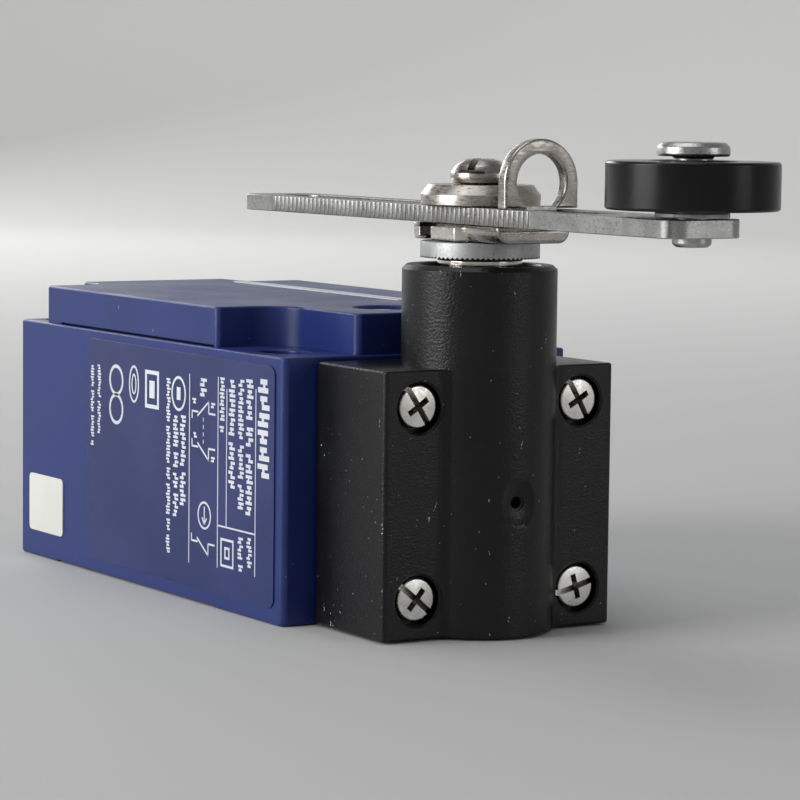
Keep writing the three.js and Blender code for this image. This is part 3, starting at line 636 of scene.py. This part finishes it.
def cover_shell():
    """The cover: soft rims, a round recess for its screw, a step along each long side, hollow underneath."""
    low, top = CASE_HIGH[2] + 0.02, COVER_HIGH[2]
    recess = circle((0, COVER_SCREW_Y), 4.3, 96)
    shell = slab("cover_shell", cover_outline(), [], low, top, (0, PLASTIC_EDGE), [(recess, top - 2.4)])
    start, end = (JOINT + 18.2, low - 1), (JOINT + 61, low + 0.24)
    steps = [
        solid_box(f"step{side}", (side * 19.5 - 1.7, *start), (side * 19.5 + 1.7, *end)) for side in (-1, 1)
    ]
    hollow = slab("hollow", cover_outline(2.6, JOINT + 68.5), [], low - 1, top - 2, (0, 0))
    place = (0, COVER_SCREW_Y, 0)
    boss = lathe("boss", rod(5.8, low - 2, top), 64, place=place)
    combine(hollow, [boss])
    hole = lathe("hole", rod(2.3, low - 1, top + 1), 48, place=place)
    combine(shell, [*steps, hollow, hole])
    finish_piece(shell, "case", "case_plastic", MATERIALS["blue"], "cover")


def seam_gasket():
    """The gasket's two visible lengths, in the step between case and cover."""
    low, high = CASE_HIGH[2] + 0.02, CASE_HIGH[2] + 0.25
    for side, name in ((-1, "gasket_left"), (1, "gasket_right")):
        x = sorted((side * 17.85, side * 18.75))
        strip = rectangle((x[0], JOINT + 18.3), (x[1], JOINT + 60.9), 0.2, 4)
        piece = slab(name, strip, [], low, high, (0.05, 0.05))
        nodes = ["cover_gasket"] if side < 0 else []
        finish_piece(piece, "case", "seal_rubber", MATERIALS["rubber"], *nodes)


def stickers():
    """The printed overlay on the side, the blank white sticker, and the white stripe on the cover."""
    film = rectangle(LABEL_LOW[1:], LABEL_HIGH[1:], 1.3)
    piece = slab("label_overlay", film, [], LABEL_LOW[0], LABEL_HIGH[0], (0.05, 0), axes=SIDE)
    finish_piece(piece, "case", "label_film", MATERIALS["film"], "side_label")
    square = rectangle(STICKER_LOW[1:], STICKER_HIGH[1:], 0.7)
    piece = slab("blank_sticker", square, [], STICKER_LOW[0], STICKER_HIGH[0], (0.04, 0), axes=SIDE)
    finish_piece(piece, "case", "white_film", MATERIALS["sticker"], "maker_sticker")
    low, high = span("cover_stripe")
    stripe = rectangle(low, high, 0.15, 4)
    piece = slab("top_stripe", stripe, [], low[2] - 0.02, high[2], (0, 0.03))
    finish_piece(piece, "case", "white_film", MATERIALS["stripe"], "cover_stripe")


# ---- Head ----


def head_body():
    """Block and front bulge as one plan outline, with hollow fillets, and the round column joined on top."""
    half, radius, fillet = HEAD_HIGH[0], COLUMN_RADIUS, 3.0
    front = JOINT - 16.0
    depth = AXIS[1] - front  # the column's axis stands this far behind the block's front
    neck = radius - 0.08  # the bulge, which the round column stands a little proud of
    reach = math.sqrt((neck + fillet) ** 2 - (depth + fillet) ** 2)  # where a fillet touches the front
    lean = math.atan2(reach, depth + fillet)  # half the bulge's own arc
    corner, brim = 0.6, 0.3
    bulge = arc(AXIS, neck, -math.pi / 2 - lean, -math.pi / 2 + lean, 44)
    right = arc((reach, front - fillet), fillet, math.pi / 2 + lean, math.pi / 2, 10)
    left = arc((-reach, front - fillet), fillet, math.pi / 2, math.pi / 2 - lean, 10)
    back = JOINT - 0.4
    corners = [
        arc((half - corner, front + corner), corner, -math.pi / 2, 0, 6),
        arc((half - corner, back - corner), corner, 0, math.pi / 2, 6),
        arc((corner - half, back - corner), corner, math.pi / 2, math.pi, 6),
        arc((corner - half, front + corner), corner, math.pi, 1.5 * math.pi, 6),
    ]
    plan = np.concatenate([bulge[1:-1], right, *corners, left])
    top = HEAD_LOW[2] + 31.1
    block = slab("head_body", plan, [], HEAD_LOW[2], top, (0.35, brim))
    foot = HEAD_LOW[2] + 0.012
    profile = [(0, foot), (radius, foot), (radius, 31.4), (radius, 37), (radius, 42.5), (8.55, 43),
               (7.25, 43), (7.05, 42.7), (7.05, 41.4), (0, 41.4)]
    column = lathe("column", soften(profile, 0.22), 128, place=(*AXIS, 0))
    combine(block, [column], "UNION")
    tools = []
    for x, z in head_screw_places():
        cut = [(0, -1), (3.4, -1), (3.2, 0.0), (2.95, 0.25), (2.95, 2.0), (1.7, 2.0), (1.7, 16.5), (0, 16.5)]
        tools.append(lathe("recess", cut, 64, -FRONT, (x, front, z)))
    dish = arc((0, 0), 6.6, -math.pi / 2, math.pi / 2, 32)
    centre = (0, JOINT - 26.0, TAPPET_Z)
    tools.append(lathe("dish", dish, 96, FRONT, centre))
    pin = [(0, -4), (0.95, -4), (0.95, 6.68), (0.7, 6.75), (0.7, 7.9), (0, 7.9)]
    tools.append(lathe("pin_hole", pin, 48, -FRONT, centre))
    shaft_room = [(0, 2.8), (3.06, 2.8), (3.06, 7.5), (7, 7.5), (7, 30.1), (6.1, 30.1), (6.1, 41.8),
                  (0, 41.8)]
    tools.append(lathe("shaft_room", shaft_room, 64, place=(*AXIS, 0)))
    tools.append(solid_box("rear_opening", (-7, AXIS[1], 8.5), (7, JOINT + 1, 24.5)))
    combine(block, tools)
    finish_piece(block, "case", "head_plastic", MATERIALS["black"], "head_housing", sharp=28)


# ---- Screws ----


def paint_shade(piece, share):
    """Stores the attribute that paints shade on metal: share gives 0 to 1 at each vertex from its x, y and z
    in millimetres.
    """
    mesh = piece.data
    spots = np.empty(len(mesh.vertices) * 3)
    mesh.vertices.foreach_get("co", spots)
    painted_shade = mesh.attributes.new("painted_shade", "FLOAT", "POINT")
    painted_shade.data.foreach_set("value", np.asarray(share(*(spots.reshape(-1, 3).T / MM)), float))


def screw(name, radius, height, shank, length, slot, cross, centre, spin, axes=UP):
    """A turned head and shank, with a through slot and a shorter cross arm cut into the head.

    Painted shade lies in the cross and in one end of the slot, so the other end looks lit.
    """
    profile = [(0, -length), (shank - 0.4, -length), (shank, 0.5 - length), (shank, 0), (radius - 0.15, 0)]
    profile += [(radius, 0.2), (radius, height - 0.22), (radius - 0.16, height - 0.03), (0, height + 0.1)]
    piece = lathe(name, soften(profile, 0.2), 64)
    floor = height - 0.95
    tools = [solid_box("slot", (-radius - 1, -slot / 2, floor), (radius + 1, slot / 2, height + 1))]
    if cross:
        tools.append(solid_box("cross", (-slot / 2, -cross, floor - 0.25), (slot / 2, cross, height + 1)))
    combine(piece, tools)

    # Painted shade: the slot's floor and the cross arm, on one side of the head.
    def painted_shade_mask(x, y, z):
        return (z > floor - 0.4) & (z < floor + 0.02) & (x < 0.75) & (np.hypot(x, y) < radius + 0.1)

    paint_shade(piece, painted_shade_mask)
    turn = np.array([[math.cos(spin), math.sin(spin), 0], [-math.sin(spin), math.cos(spin), 0], [0, 0, 1]])
    points = np.empty(len(piece.data.vertices) * 3)
    piece.data.vertices.foreach_get("co", points)
    points = points.reshape(-1, 3) @ turn @ axes + np.array(centre) * MM
    piece.data.vertices.foreach_set("co", points.ravel())
    return piece


def head_screws():
    """Four screws in the head's front, each left at its own angle."""
    tilts = {("upper", "left"): 2.15, ("upper", "right"): 2.1,
             ("lower", "left"): 2.45, ("lower", "right"): 3.41}
    for (level, hand), tilt in tilts.items():
        node = f"head_screw_{level}_{hand}"
        low, high = span(node)
        centre = ((low[0] + high[0]) / 2, low[1] + 1.5, (low[2] + high[2]) / 2 + 0.12)
        piece = screw(f"screw_{level}_{hand}", radius=2.5, height=1.5, shank=1.5, length=17.6, slot=0.72,
                      cross=1.5, centre=centre, spin=tilt, axes=FRONT)
        finish_piece(piece, "case", "nickel_plated_steel", MATERIALS["screw"], node)


def cover_screw():
    """The slotted screw sunk in the cover."""
    low, high = span("cover_screw")
    centre = (0, (low[1] + high[1]) / 2, COVER_HIGH[2] - 2.3)
    piece = screw("captive_screw", radius=3.4, height=1.9, shank=1.6, length=8.5, slot=1.0, cross=0,
                  centre=centre, spin=0.6)
    finish_piece(piece, "case", "nickel_plated_steel", MATERIALS["screw"], "cover_screw")


# ---- Shaft, clamp and lever ----


def shaft():
    """The shaft: pivot, journal, bright collar and neck."""
    profile = [(0, 3), (3, 3), (3, 7.8), (4, 7.8), (4, 41.6), (5, 41.6), (5, DISC_LOW[2] - 0.1)]
    profile += [(3.4, DISC_LOW[2] - 0.1), (3.4, 46.9), (2.15, 46.9), (2.15, 34), (0, 34)]
    piece = lathe("bright_shaft", soften(profile, 0.25), 96, place=(*AXIS, 0))
    finish_piece(piece, "lever", "nickel_plated_steel", MATERIALS["bright"], "lever_shaft")


def seal_ring():
    """The shaft's lip seal, sunk in the top of the column."""
    profile = [(5.1, 41.75), (5.1, 42.3), (5.5, 42.75), (5.9, 42.35), (6.6, 42.35), (7.0, 42.6),
               (7.0, 41.75), (5.1, 41.75)]
    piece = lathe("lip_seal", soften(profile, 0.12), 96, place=(*AXIS, 0))
    finish_piece(piece, "case", "seal_rubber", MATERIALS["rubber"], "shaft_seal")


def indexing_disc():
    """The toothed disc: its lower rim rises and falls as a triangle wave with 72 teeth."""
    teeth, tooth = 72, 0.26
    low, high, radius = DISC_LOW[2], DISC_HIGH[2], (DISC_HIGH[0] - DISC_LOW[0]) / 2
    profile = [(3.5, low + 0.45), (radius - 0.9, low + 0.45), (radius - 0.8, low), (radius, low)]
    profile += [(radius, low + 0.3), (radius, high), (3.5, high), (3.5, low + 0.45)]

    def crown(r, z, angle):
        wave = np.abs((angle * teeth / TURN) % 1 - 0.5) * 2
        rim = (z < low + 0.2) & (r > radius - 1)
        return np.where(rim, z + tooth * wave, z)

    fine = np.concatenate([profile[:5], soften(profile[4:7], 0.12)[1:], profile[7:]])
    piece = lathe("indexing_disc", fine, teeth * 6, place=(*AXIS, 0), lift=crown)
    finish_piece(piece, "lever", "zinc_plated_steel", MATERIALS["zinc"], "serrated_disc")


def clamp_block():
    """Under the arm: a hexagonal boss, a thin plate, a tab with soft lower corners, and two hooked lugs."""
    low, high = DISC_HIGH[2] + 0.12, ARM_LOW[2] - 0.08
    nose, half = -11.25, 4.9
    corners = [(6.6 * math.sin(a), -6.6 * math.cos(a), 0.3) for a in np.arange(6) * TURN / 6]
    boss = slab("clamp_block", rounded(corners, 4), [], low, high - 0.3, (0.3, 0.1), place=(*AXIS, 0))
    plate = slab("plate", rectangle((-4.95, nose), (4.95, 7.0), 0.4, 4), [], high - 0.5, high, (0.1, 0.12),
                 place=(*AXIS, 0))
    face = [(-half, low + 0.02, 1.4), (half, low + 0.02, 1.4), (half, high - 0.2, 0), (-half, high - 0.2, 0)]
    tab = slab("tab", rounded(face, 10), [], 2, 0.05 - nose, (0, 0.3), axes=FRONT, place=(0, AXIS[1], 0))
    lugs = []
    for side in (-1, 1):
        hook = [(5.5, high - 0.2, 0), (5.5, low + 0.45, 0.1), (4.2, low + 0.45, 0.1), (4.2, low + 0.02, 0.2),
                (6.7, low + 0.02, 0.4), (6.9, high - 0.2, 0)]
        x = sorted((side * 3.3, side * 4.9))
        lug = slab(f"lug{side}", rounded(hook, 5), [], *x, (0.12, 0.12), axes=SIDE, place=(0, AXIS[1], 0))
        lugs.append(lug)
    combine(boss, [plate, tab, *lugs], "UNION")
    tools = [lathe("bore", rod(3.5, 40, 50), 64, place=(*AXIS, 0))]
    for side in (-1, 1):
        x = sorted((side * 3.4, side * 7))
        tools.append(solid_box("gap", (x[0], AXIS[1] + 1.7, low + 0.45), (x[1], AXIS[1] + 5.4, high + 1)))
        tools.append(solid_box("foot_gap", (x[0], AXIS[1] + 1.7, low - 1), (x[1], AXIS[1] + 4.1, low + 0.5)))
    combine(boss, tools)

    # Painted shade in the gaps beside the lugs, and under the arm at the front end of the plate and tab.
    def painted_shade_mask(x, y, z):
        gap = (np.abs(x) < 5.65) & (y > AXIS[1] + 1.6) & (y < AXIS[1] + 5.45)
        return np.maximum(0.7 * (y < AXIS[1] + nose + 1), 0.97 * gap)

    paint_shade(boss, painted_shade_mask)
    finish_piece(boss, "lever", "arm_steel", MATERIALS["boss"], "clamp_jaw")


def arm_loop():
    """The arm's outline: blunt ends with rounded corners, and edges that ripple where they are toothed."""
    half, bite, pitch, corner = 5.0, 0.3, 1.0, 2.3
    tip, tail = ARM_LOW[1], ARM_HIGH[1]
    start, end = AXIS[1] - 17.5, AXIS[1] + 40.5
    y = np.arange(start, end + 0.01, pitch / 10)
    wave = np.abs(2 * ((y - start) / pitch % 1) - 1) ** 1.6
    right = np.column_stack([half - bite * (1 - wave), y])
    left = right[::-1] * (-1, 1)
    flank = half - corner
    ends = [
        arc((flank, tail - corner), corner, 0, math.pi / 2, 8),
        arc((-flank, tail - corner), corner, math.pi / 2, math.pi, 8),
        left,
        arc((-flank, tip + corner), corner, math.pi, 1.5 * math.pi, 8),
        arc((flank, tip + corner), corner, -math.pi / 2, 0, 8),
    ]
    return np.concatenate([right, *ends])


def lever_arm():
    """The arm: the toothed outline with a long slot and the rivet's hole, with painted shade in its teeth
    and on top.
    """
    slot = 2.5
    low, high = AXIS[1] - 27.2 + slot, AXIS[1] + 44 - slot
    opening = np.concatenate([arc((0, high), slot, 0, math.pi, 20), arc((0, low), slot, math.pi, TURN, 20)])
    holes = [opening, circle(ROLLER_AXIS, 2.25, 48)]
    piece = slab("slotted_arm", arm_loop(), holes, ARM_LOW[2], ARM_HIGH[2], (0.12, 0.12))

    # Painted shade: dark in the valleys of the teeth, and half dark over the top face.
    def painted_shade_mask(x, y, z):
        wall = (z > ARM_LOW[2] + 0.11) & (z < ARM_HIGH[2] - 0.11)
        valley = np.clip((ARM_HIGH[0] - np.abs(x)) / 0.3, 0, 1) * (np.abs(x) > ARM_HIGH[0] - 0.5)
        return np.where(wall, 0.9 * valley, 0.5 * (z > ARM_HIGH[2] - 0.01))

    paint_shade(piece, painted_shade_mask)
    finish_piece(piece, "arm", "arm_steel", MATERIALS["arm"], "lever_arm")


def eye_ring():
    """A pressed ring that stands across the arm, on a foot that lies in the arm's slot."""
    half, middle, hole, thick, soft = 5.0, 52.8, 3.3, 1.6, 0.3
    foot_top = ARM_HIGH[2] - 0.05
    base = ARM_HIGH[2] + 0.15
    loop = np.concatenate([[[half, base]], arc((0, middle), half, 0, math.pi, 48), [[-half, base]]])
    y = EYE_LOW[1] + thick
    ring = slab("eye_ring", loop, [], 0, thick, (soft, soft), axes=FRONT, place=(0, y, 0))
    flare = arc((0, 0), soft, 0, math.pi / 2, 5)
    mouth = [(hole + soft - b, a - soft) for a, b in flare[::-1]]  # from the hole's wall out to the face
    near = [(0, -1), (hole + soft, -1)] + [(r, -h) for r, h in mouth[::-1]]
    far = [(r, thick + h) for r, h in mouth] + [(hole + soft, thick + 1), (0, thick + 1)]
    opening = lathe("opening", near + far, 96, FRONT, (0, y, middle))
    combine(ring, [opening])
    foot = rectangle((-2.2, EYE_LOW[1]), (2.2, AXIS[1] - 3.2), 0.3, 4)
    tab = slab("tab", foot, [], ARM_LOW[2] + 0.3, foot_top, (0.1, 0.1))
    riser = rectangle((-2.2, EYE_LOW[1] + 0.05), (2.2, EYE_LOW[1] + thick - 0.05), 0.2, 4)
    stem = slab("stem", riser, [], ARM_LOW[2] + 0.35, ARM_HIGH[2] + 0.4, (0, 0.1))
    combine(ring, [tab, stem], "UNION")
    # Painted shade on the flat front and back faces, so the rounded rims look lit.
    paint_shade(ring, lambda x, y, z: 0.45 * ((y < EYE_LOW[1] + 0.01) | (y > EYE_LOW[1] + thick - 0.01)))
    finish_piece(ring, "lever", "arm_steel", MATERIALS["clamp"], "eye_bracket")


def washer_and_screw():
    """The coned washer, and the clamp screw's domed head with a through slot and a shorter cross arm."""
    low, high = span("clamp_washer")
    profile = [(2.3, low[2]), (7, low[2]), (7, low[2] + 1.25), (6.15, high[2]), (2.3, high[2]),
               (2.3, low[2])]
    piece = lathe("cone_washer", soften(profile, 0.14), 96, place=(*AXIS, 0))
    finish_piece(piece, "lever", "arm_steel", MATERIALS["clamp"], "clamp_washer")
    low, high = span("clamp_screw")
    bottom = high[2] - 2.9
    profile = [(0, -16), (1.6, -16), (2, -15.5), (2, 0), (3.3, 0), (3.62, 0.7), (3.55, 1.3), (3.0, 2.1),
               (2.1, 2.7), (1.2, 2.9), (0, 2.9)]
    piece = lathe("pan_screw", soften(profile, 0.6), 96)
    tools = [
        solid_box("slot", (-5, -0.45, 1.6), (5, 0.45, 5)),
        solid_box("cross", (-0.45, -1.7, 1.3), (0.45, 1.7, 5)),
    ]
    combine(piece, tools)
    # Painted shade in the slot floor and the cross arm, on one side of the head.
    paint_shade(piece, lambda x, y, z: (z > 1.2) & (z < 1.62) & (np.abs(y) < 1.72) & (x < 1.5))
    turn = Matrix.Translation([AXIS[0] * MM, AXIS[1] * MM, bottom * MM]) @ Matrix.Rotation(0.63, 4, "Z")
    piece.data.transform(turn)
    finish_piece(piece, "lever", "arm_steel", MATERIALS["clamp"], "clamp_screw")


def roller_set():
    """The roller, the washer under it and the rivet it turns on."""
    low, high = ROLLER_LOW[2], ROLLER_HIGH[2]
    radius = (ROLLER_HIGH[0] - ROLLER_LOW[0]) / 2
    profile = [(2.25, low), (4.6, low), (4.75, low + 0.12), (radius - 0.2, low + 0.12),
               (radius, low + 0.35), (radius, high - 0.35), (radius - 0.2, high - 0.12),
               (4.75, high - 0.12), (4.6, high), (2.25, high), (2.25, low)]
    piece = lathe("plastic_roller", soften(profile, 0.25), 128, place=(*ROLLER_AXIS, 0))
    finish_piece(piece, "roller", "roller_plastic", MATERIALS["roller"], "roller")
    below, above = span("roller_washer")
    outer = (above[0] - below[0]) / 2
    profile = [(2.3, below[2]), (outer, below[2]), (outer, above[2]), (2.3, above[2]), (2.3, below[2])]
    piece = lathe("thin_washer", soften(profile, 0.1), 96, place=(*ROLLER_AXIS, 0))
    finish_piece(piece, "arm", "zinc_plated_steel", MATERIALS["zinc"], "roller_washer")
    below, above = span("roller_rivet")
    top = above[2]
    seat = high + 0.4
    profile = [(0, below[2]), (1.7, below[2]), (2.1, below[2] + 0.35), (2.1, seat), (3.75, seat),
               (3.9, seat + 0.25), (3.85, top - 0.5), (3.4, top - 0.06), (2.6, top), (0, top - 0.08)]
    piece = lathe("dome_rivet", soften(profile, 0.3), 96, place=(*ROLLER_AXIS, 0))
    finish_piece(piece, "arm", "arm_steel", MATERIALS["arm"], "roller_rivet")


# ---- Print on the overlay: rules, rows of small strokes, and simple line symbols; no letters ----


class Marks:
    """Flat marks on the overlay. u runs down the side (-Z), v along the case from its head end (+Y)."""

    def __init__(self):
        self.quads = []

    def bar(self, u, v):
        """A rectangle from u[0] to u[1] and from v[0] to v[1]."""
        self.quads.append([(u[0], v[0]), (u[1], v[0]), (u[1], v[1]), (u[0], v[1])])

    def line(self, start, end, width=0.24):
        """A straight stroke: a thin quadrilateral, half its width to each side of the line."""
        start, end = np.array(start), np.array(end)
        along = (end - start) / np.linalg.norm(end - start)
        side = np.array([-along[1], along[0]]) * width / 2
        self.quads.append([start - side, end - side, end + side, start + side])

    def ring(self, centre, radius, width=0.26, steps=28, stretch=1.0):
        """A circle, or an oval longer along u, as a chain of short strokes."""
        spots = circle((0, 0), radius, steps) * (stretch, 1) + centre
        for a, b in zip(spots, np.roll(spots, -1, 0)):
            self.line(a, b, width)

    def frame(self, u, v, width):
        """The four bars of a hollow rectangle."""
        for a in (v[0], v[1] - width):
            self.bar(u, (a, a + width))
        for a in (u[0], u[1] - width):
            self.bar((a, a + width), (v[0] + width, v[1] - width))

    def row(self, v, height, start, end, seed):
        """Words of illegible signs: pairs of strokes of unlike spans, some joined by a small block."""
        rng = np.random.default_rng(seed)
        spans = [(0, 0.66), (0.34, 1), (0.12, 1), (0, 0.88), (0.2, 0.8)]
        stroke, gap = 0.23 * height, 0.13 * height
        low, u = v - height / 2, start
        while u < end - 2 * stroke:
            for _ in range(rng.integers(2, 8)):
                first, second = rng.choice(len(spans), 2, replace=False)
                for place, pick in ((u, first), (u + stroke + gap, second)):
                    self.bar((place, place + stroke), [low + share * height for share in spans[pick]])
                joint = low + rng.uniform(0.36, 0.5) * height
                self.bar((u + stroke, u + stroke + gap), (joint, joint + 0.2 * height))
                u += 2 * (stroke + gap)
                if u > end - 2 * stroke:
                    break
            u += 0.4 * height

    def contact(self, u, slope):
        """A generic contact: two stubs with feet, and a blade between them."""
        self.line((u, 16.3), (u, 18.0))
        self.line((u, 18.0), (u + 1.5 * slope, 18.0))
        self.line((u + 1.5 * slope, 17.9), (u - 0.5 * slope, 20.9))
        self.line((u, 20.7), (u, 22.4))
        self.line((u - 0.9 * slope, 22.3), (u, 22.3))

    def build(self, name, material):
        """Makes every mark a closed prism on its four corners, all of them at once."""
        quads = np.array(self.quads, float)
        outer, inner = LABEL_LOW[0] - 0.012, LABEL_LOW[0] + 0.02
        y = np.tile(JOINT + quads[:, :, 1], 2)
        z = np.tile(LABEL_HIGH[2] - quads[:, :, 0], 2)
        x = np.repeat([outer, inner], 4) + 0 * y
        faces = [(0, 1, 2, 3), (4, 5, 6, 7), (0, 1, 5, 4), (1, 2, 6, 5), (2, 3, 7, 6), (3, 0, 4, 7)]
        cells = np.arange(len(quads))[:, None, None] * 8 + np.array(faces)
        piece = new_piece(name, np.stack([x, y, z], 2).reshape(-1, 3), cells.reshape(-1, 4), tidy=False)
        work = bmesh.new()
        work.from_mesh(piece.data)
        bmesh.ops.recalc_face_normals(work, faces=work.faces)
        work.to_mesh(piece.data)
        work.free()
        finish_piece(piece, "case", "white_film", material)


def overlay_print():
    """Everything printed on the overlay, from the head end to the cable end."""
    marks = Marks()
    rows = [(4.3, 2.8, 1.7, 14.9), (7.7, 1.75, 2.0, 18.2), (9.8, 1.45, 2.2, 18.0), (12.1, 1.6, 2.4, 15.4),
            (14.6, 1.25, 2.3, 9.5), (24.7, 1.5, 7.8, 19.7), (26.6, 1.4, 8.0, 21.2), (28.6, 1.1, 3.5, 25.4),
            (48.0, 1.0, 3.3, 13.1), (50.0, 1.0, 3.5, 14.1)]
    for seed, (v, height, start, end) in enumerate(rows):
        marks.row(v, height, start, end, seed)
    for v, start, end in ((6.2, 3.0, 25.5), (13.4, 3.6, 20.4), (15.6, 2.3, 25.6), (23.0, 2.5, 25.9)):
        marks.bar((start, end), (v - 0.09, v + 0.09))
    marks.bar((20.3, 20.5), (6.2, 15.6))
    marks.row(7.6, 1.3, 21.0, 25.2, 20)
    marks.row(9.8, 1.3, 21.2, 25.5, 21)
    marks.frame((21.8, 25.3), (11.5, 14.8), 0.3)
    marks.frame((22.8, 24.3), (12.5, 13.8), 0.3)
    marks.contact(7.0, -1)
    marks.contact(11.3, 1)
    marks.contact(23.0, 1)
    for step in np.arange(7.6, 10.9, 0.9):
        marks.bar((step, step + 0.5), (19.3, 19.45))
    signs = [(19.4, 1.7, 2.8, 5.3), (21.7, 1.1, 5.4, 6.6), (16.9, 1.1, 5.6, 6.8), (21.6, 1.1, 9.6, 10.6),
             (16.8, 1.1, 12.2, 13.2)]
    for seed, sign in enumerate(signs, 22):
        marks.row(*sign, seed)
    marks.ring((19.6, 19.0), 1.6)
    marks.line((18.5, 19.0), (20.7, 19.0))
    marks.line((19.9, 18.4), (20.7, 19.0))
    marks.line((19.9, 19.6), (20.7, 19.0))
    marks.ring((5.2, 25.9), 1.75, 0.34, stretch=1.15)
    marks.bar((4.4, 6.0), (25.4, 26.4))
    marks.frame((2.9, 7.7), (31.2, 35.0), 0.5)
    marks.bar((4.2, 6.4), (32.4, 33.8))
    marks.ring((5.0, 38.1), 1.25, 0.3, stretch=1.8)
    marks.ring((5.0, 38.1), 0.55, 0.26, stretch=2.2)
    marks.ring((4.9, 43.1), 1.8, 0.44)
    marks.ring((8.6, 43.1), 1.8, 0.44)
    marks.build("overlay_print", MATERIALS["print"])


# ---- The nodes that keep their own mesh ----


def both_contacts(part):
    """The four nodes of one kind: left and right, on the break and on the make contact."""
    return [f"{contact}_{part}_{hand}" for contact in ("break", "make") for hand in ("left", "right")]


NODE_FINISH = {
    "rubber": ["head_gasket"],
    "grey": ["contact_block_base"],
    "smoke": ["contact_block_cap"],
    "white": ["bridge_carrier", "tappet"],
    "brass": ["break_bridge", "make_bridge", *both_contacts("terminal")],
    "zinc": [*both_contacts("wire_clamp"), *both_contacts("terminal_screw"), "block_screw_left",
             "block_screw_right"],
    "arm": ["break_contact_spring", "make_contact_spring", "return_spring", "cam", "retaining_ring"],
    "bronze": ["shaft_bush"],
}


def finish_nodes():
    """Gives each node that keeps its own mesh its material."""
    for finish, nodes in NODE_FINISH.items():
        for name in nodes:
            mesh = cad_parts[name].data
            mesh.materials.clear()
            mesh.materials.append(MATERIALS[finish])


# ---- Studio ----


def studio():
    """A pale floor whose round rim sweeps up into a wall, and five soft lamps."""
    floor_material, _, shader = new_material("pale_floor", Roughness=0.8, Specular_IOR_Level=0.1)
    shader.inputs["Base Color"].default_value = (0.62, 0.62, 0.61, 1)
    sweep = arc((1100, 500), 500, -math.pi / 2, 0, 24)
    floor = lathe("floor", [(0, 0), *sweep, (1600, 1500)], 96, place=(0, 0, -0.02))
    floor.data.flip_normals()
    floor.data.polygons.foreach_set("use_smooth", np.ones(len(floor.data.polygons), bool))
    floor.data.materials.append(floor_material)
    world = bpy.data.worlds.new("studio")
    world.use_nodes = True
    world.node_tree.nodes["Background"].inputs["Color"].default_value = (0.9, 0.94, 1.0, 1)
    world.node_tree.nodes["Background"].inputs["Strength"].default_value = 0.2
    bpy.context.scene.world = world
    centre = (0, -0.03, 0.025)
    add_softbox("key", (-0.95, 0.14, 0.3), centre, (0.6, 0.5), 7)
    add_softbox("overhead", (-0.2, 0.1, 1.1), centre, (0.8, 0.8), 3)
    add_softbox("rim", (0.0, 1.1, 0.35), centre, (0.9, 0.4), 4)
    add_softbox("wall_wash", (0.4, 0.5, 0.9), (0.85, 1.35, 0.2), (0.6, 0.3), 5)
    add_softbox("fill", (0.55, -0.95, 0.2), centre, (0.4, 0.3), 0.8)
    bpy.context.scene.view_settings.view_transform = "Standard"


add_camera()
studio()
case_body()
entry_thread()
cover_shell()
seam_gasket()
stickers()
overlay_print()
head_body()
head_screws()
cover_screw()
seal_ring()
shaft()
indexing_disc()
clamp_block()
lever_arm()
eye_ring()
washer_and_screw()
roller_set()
finish_nodes()
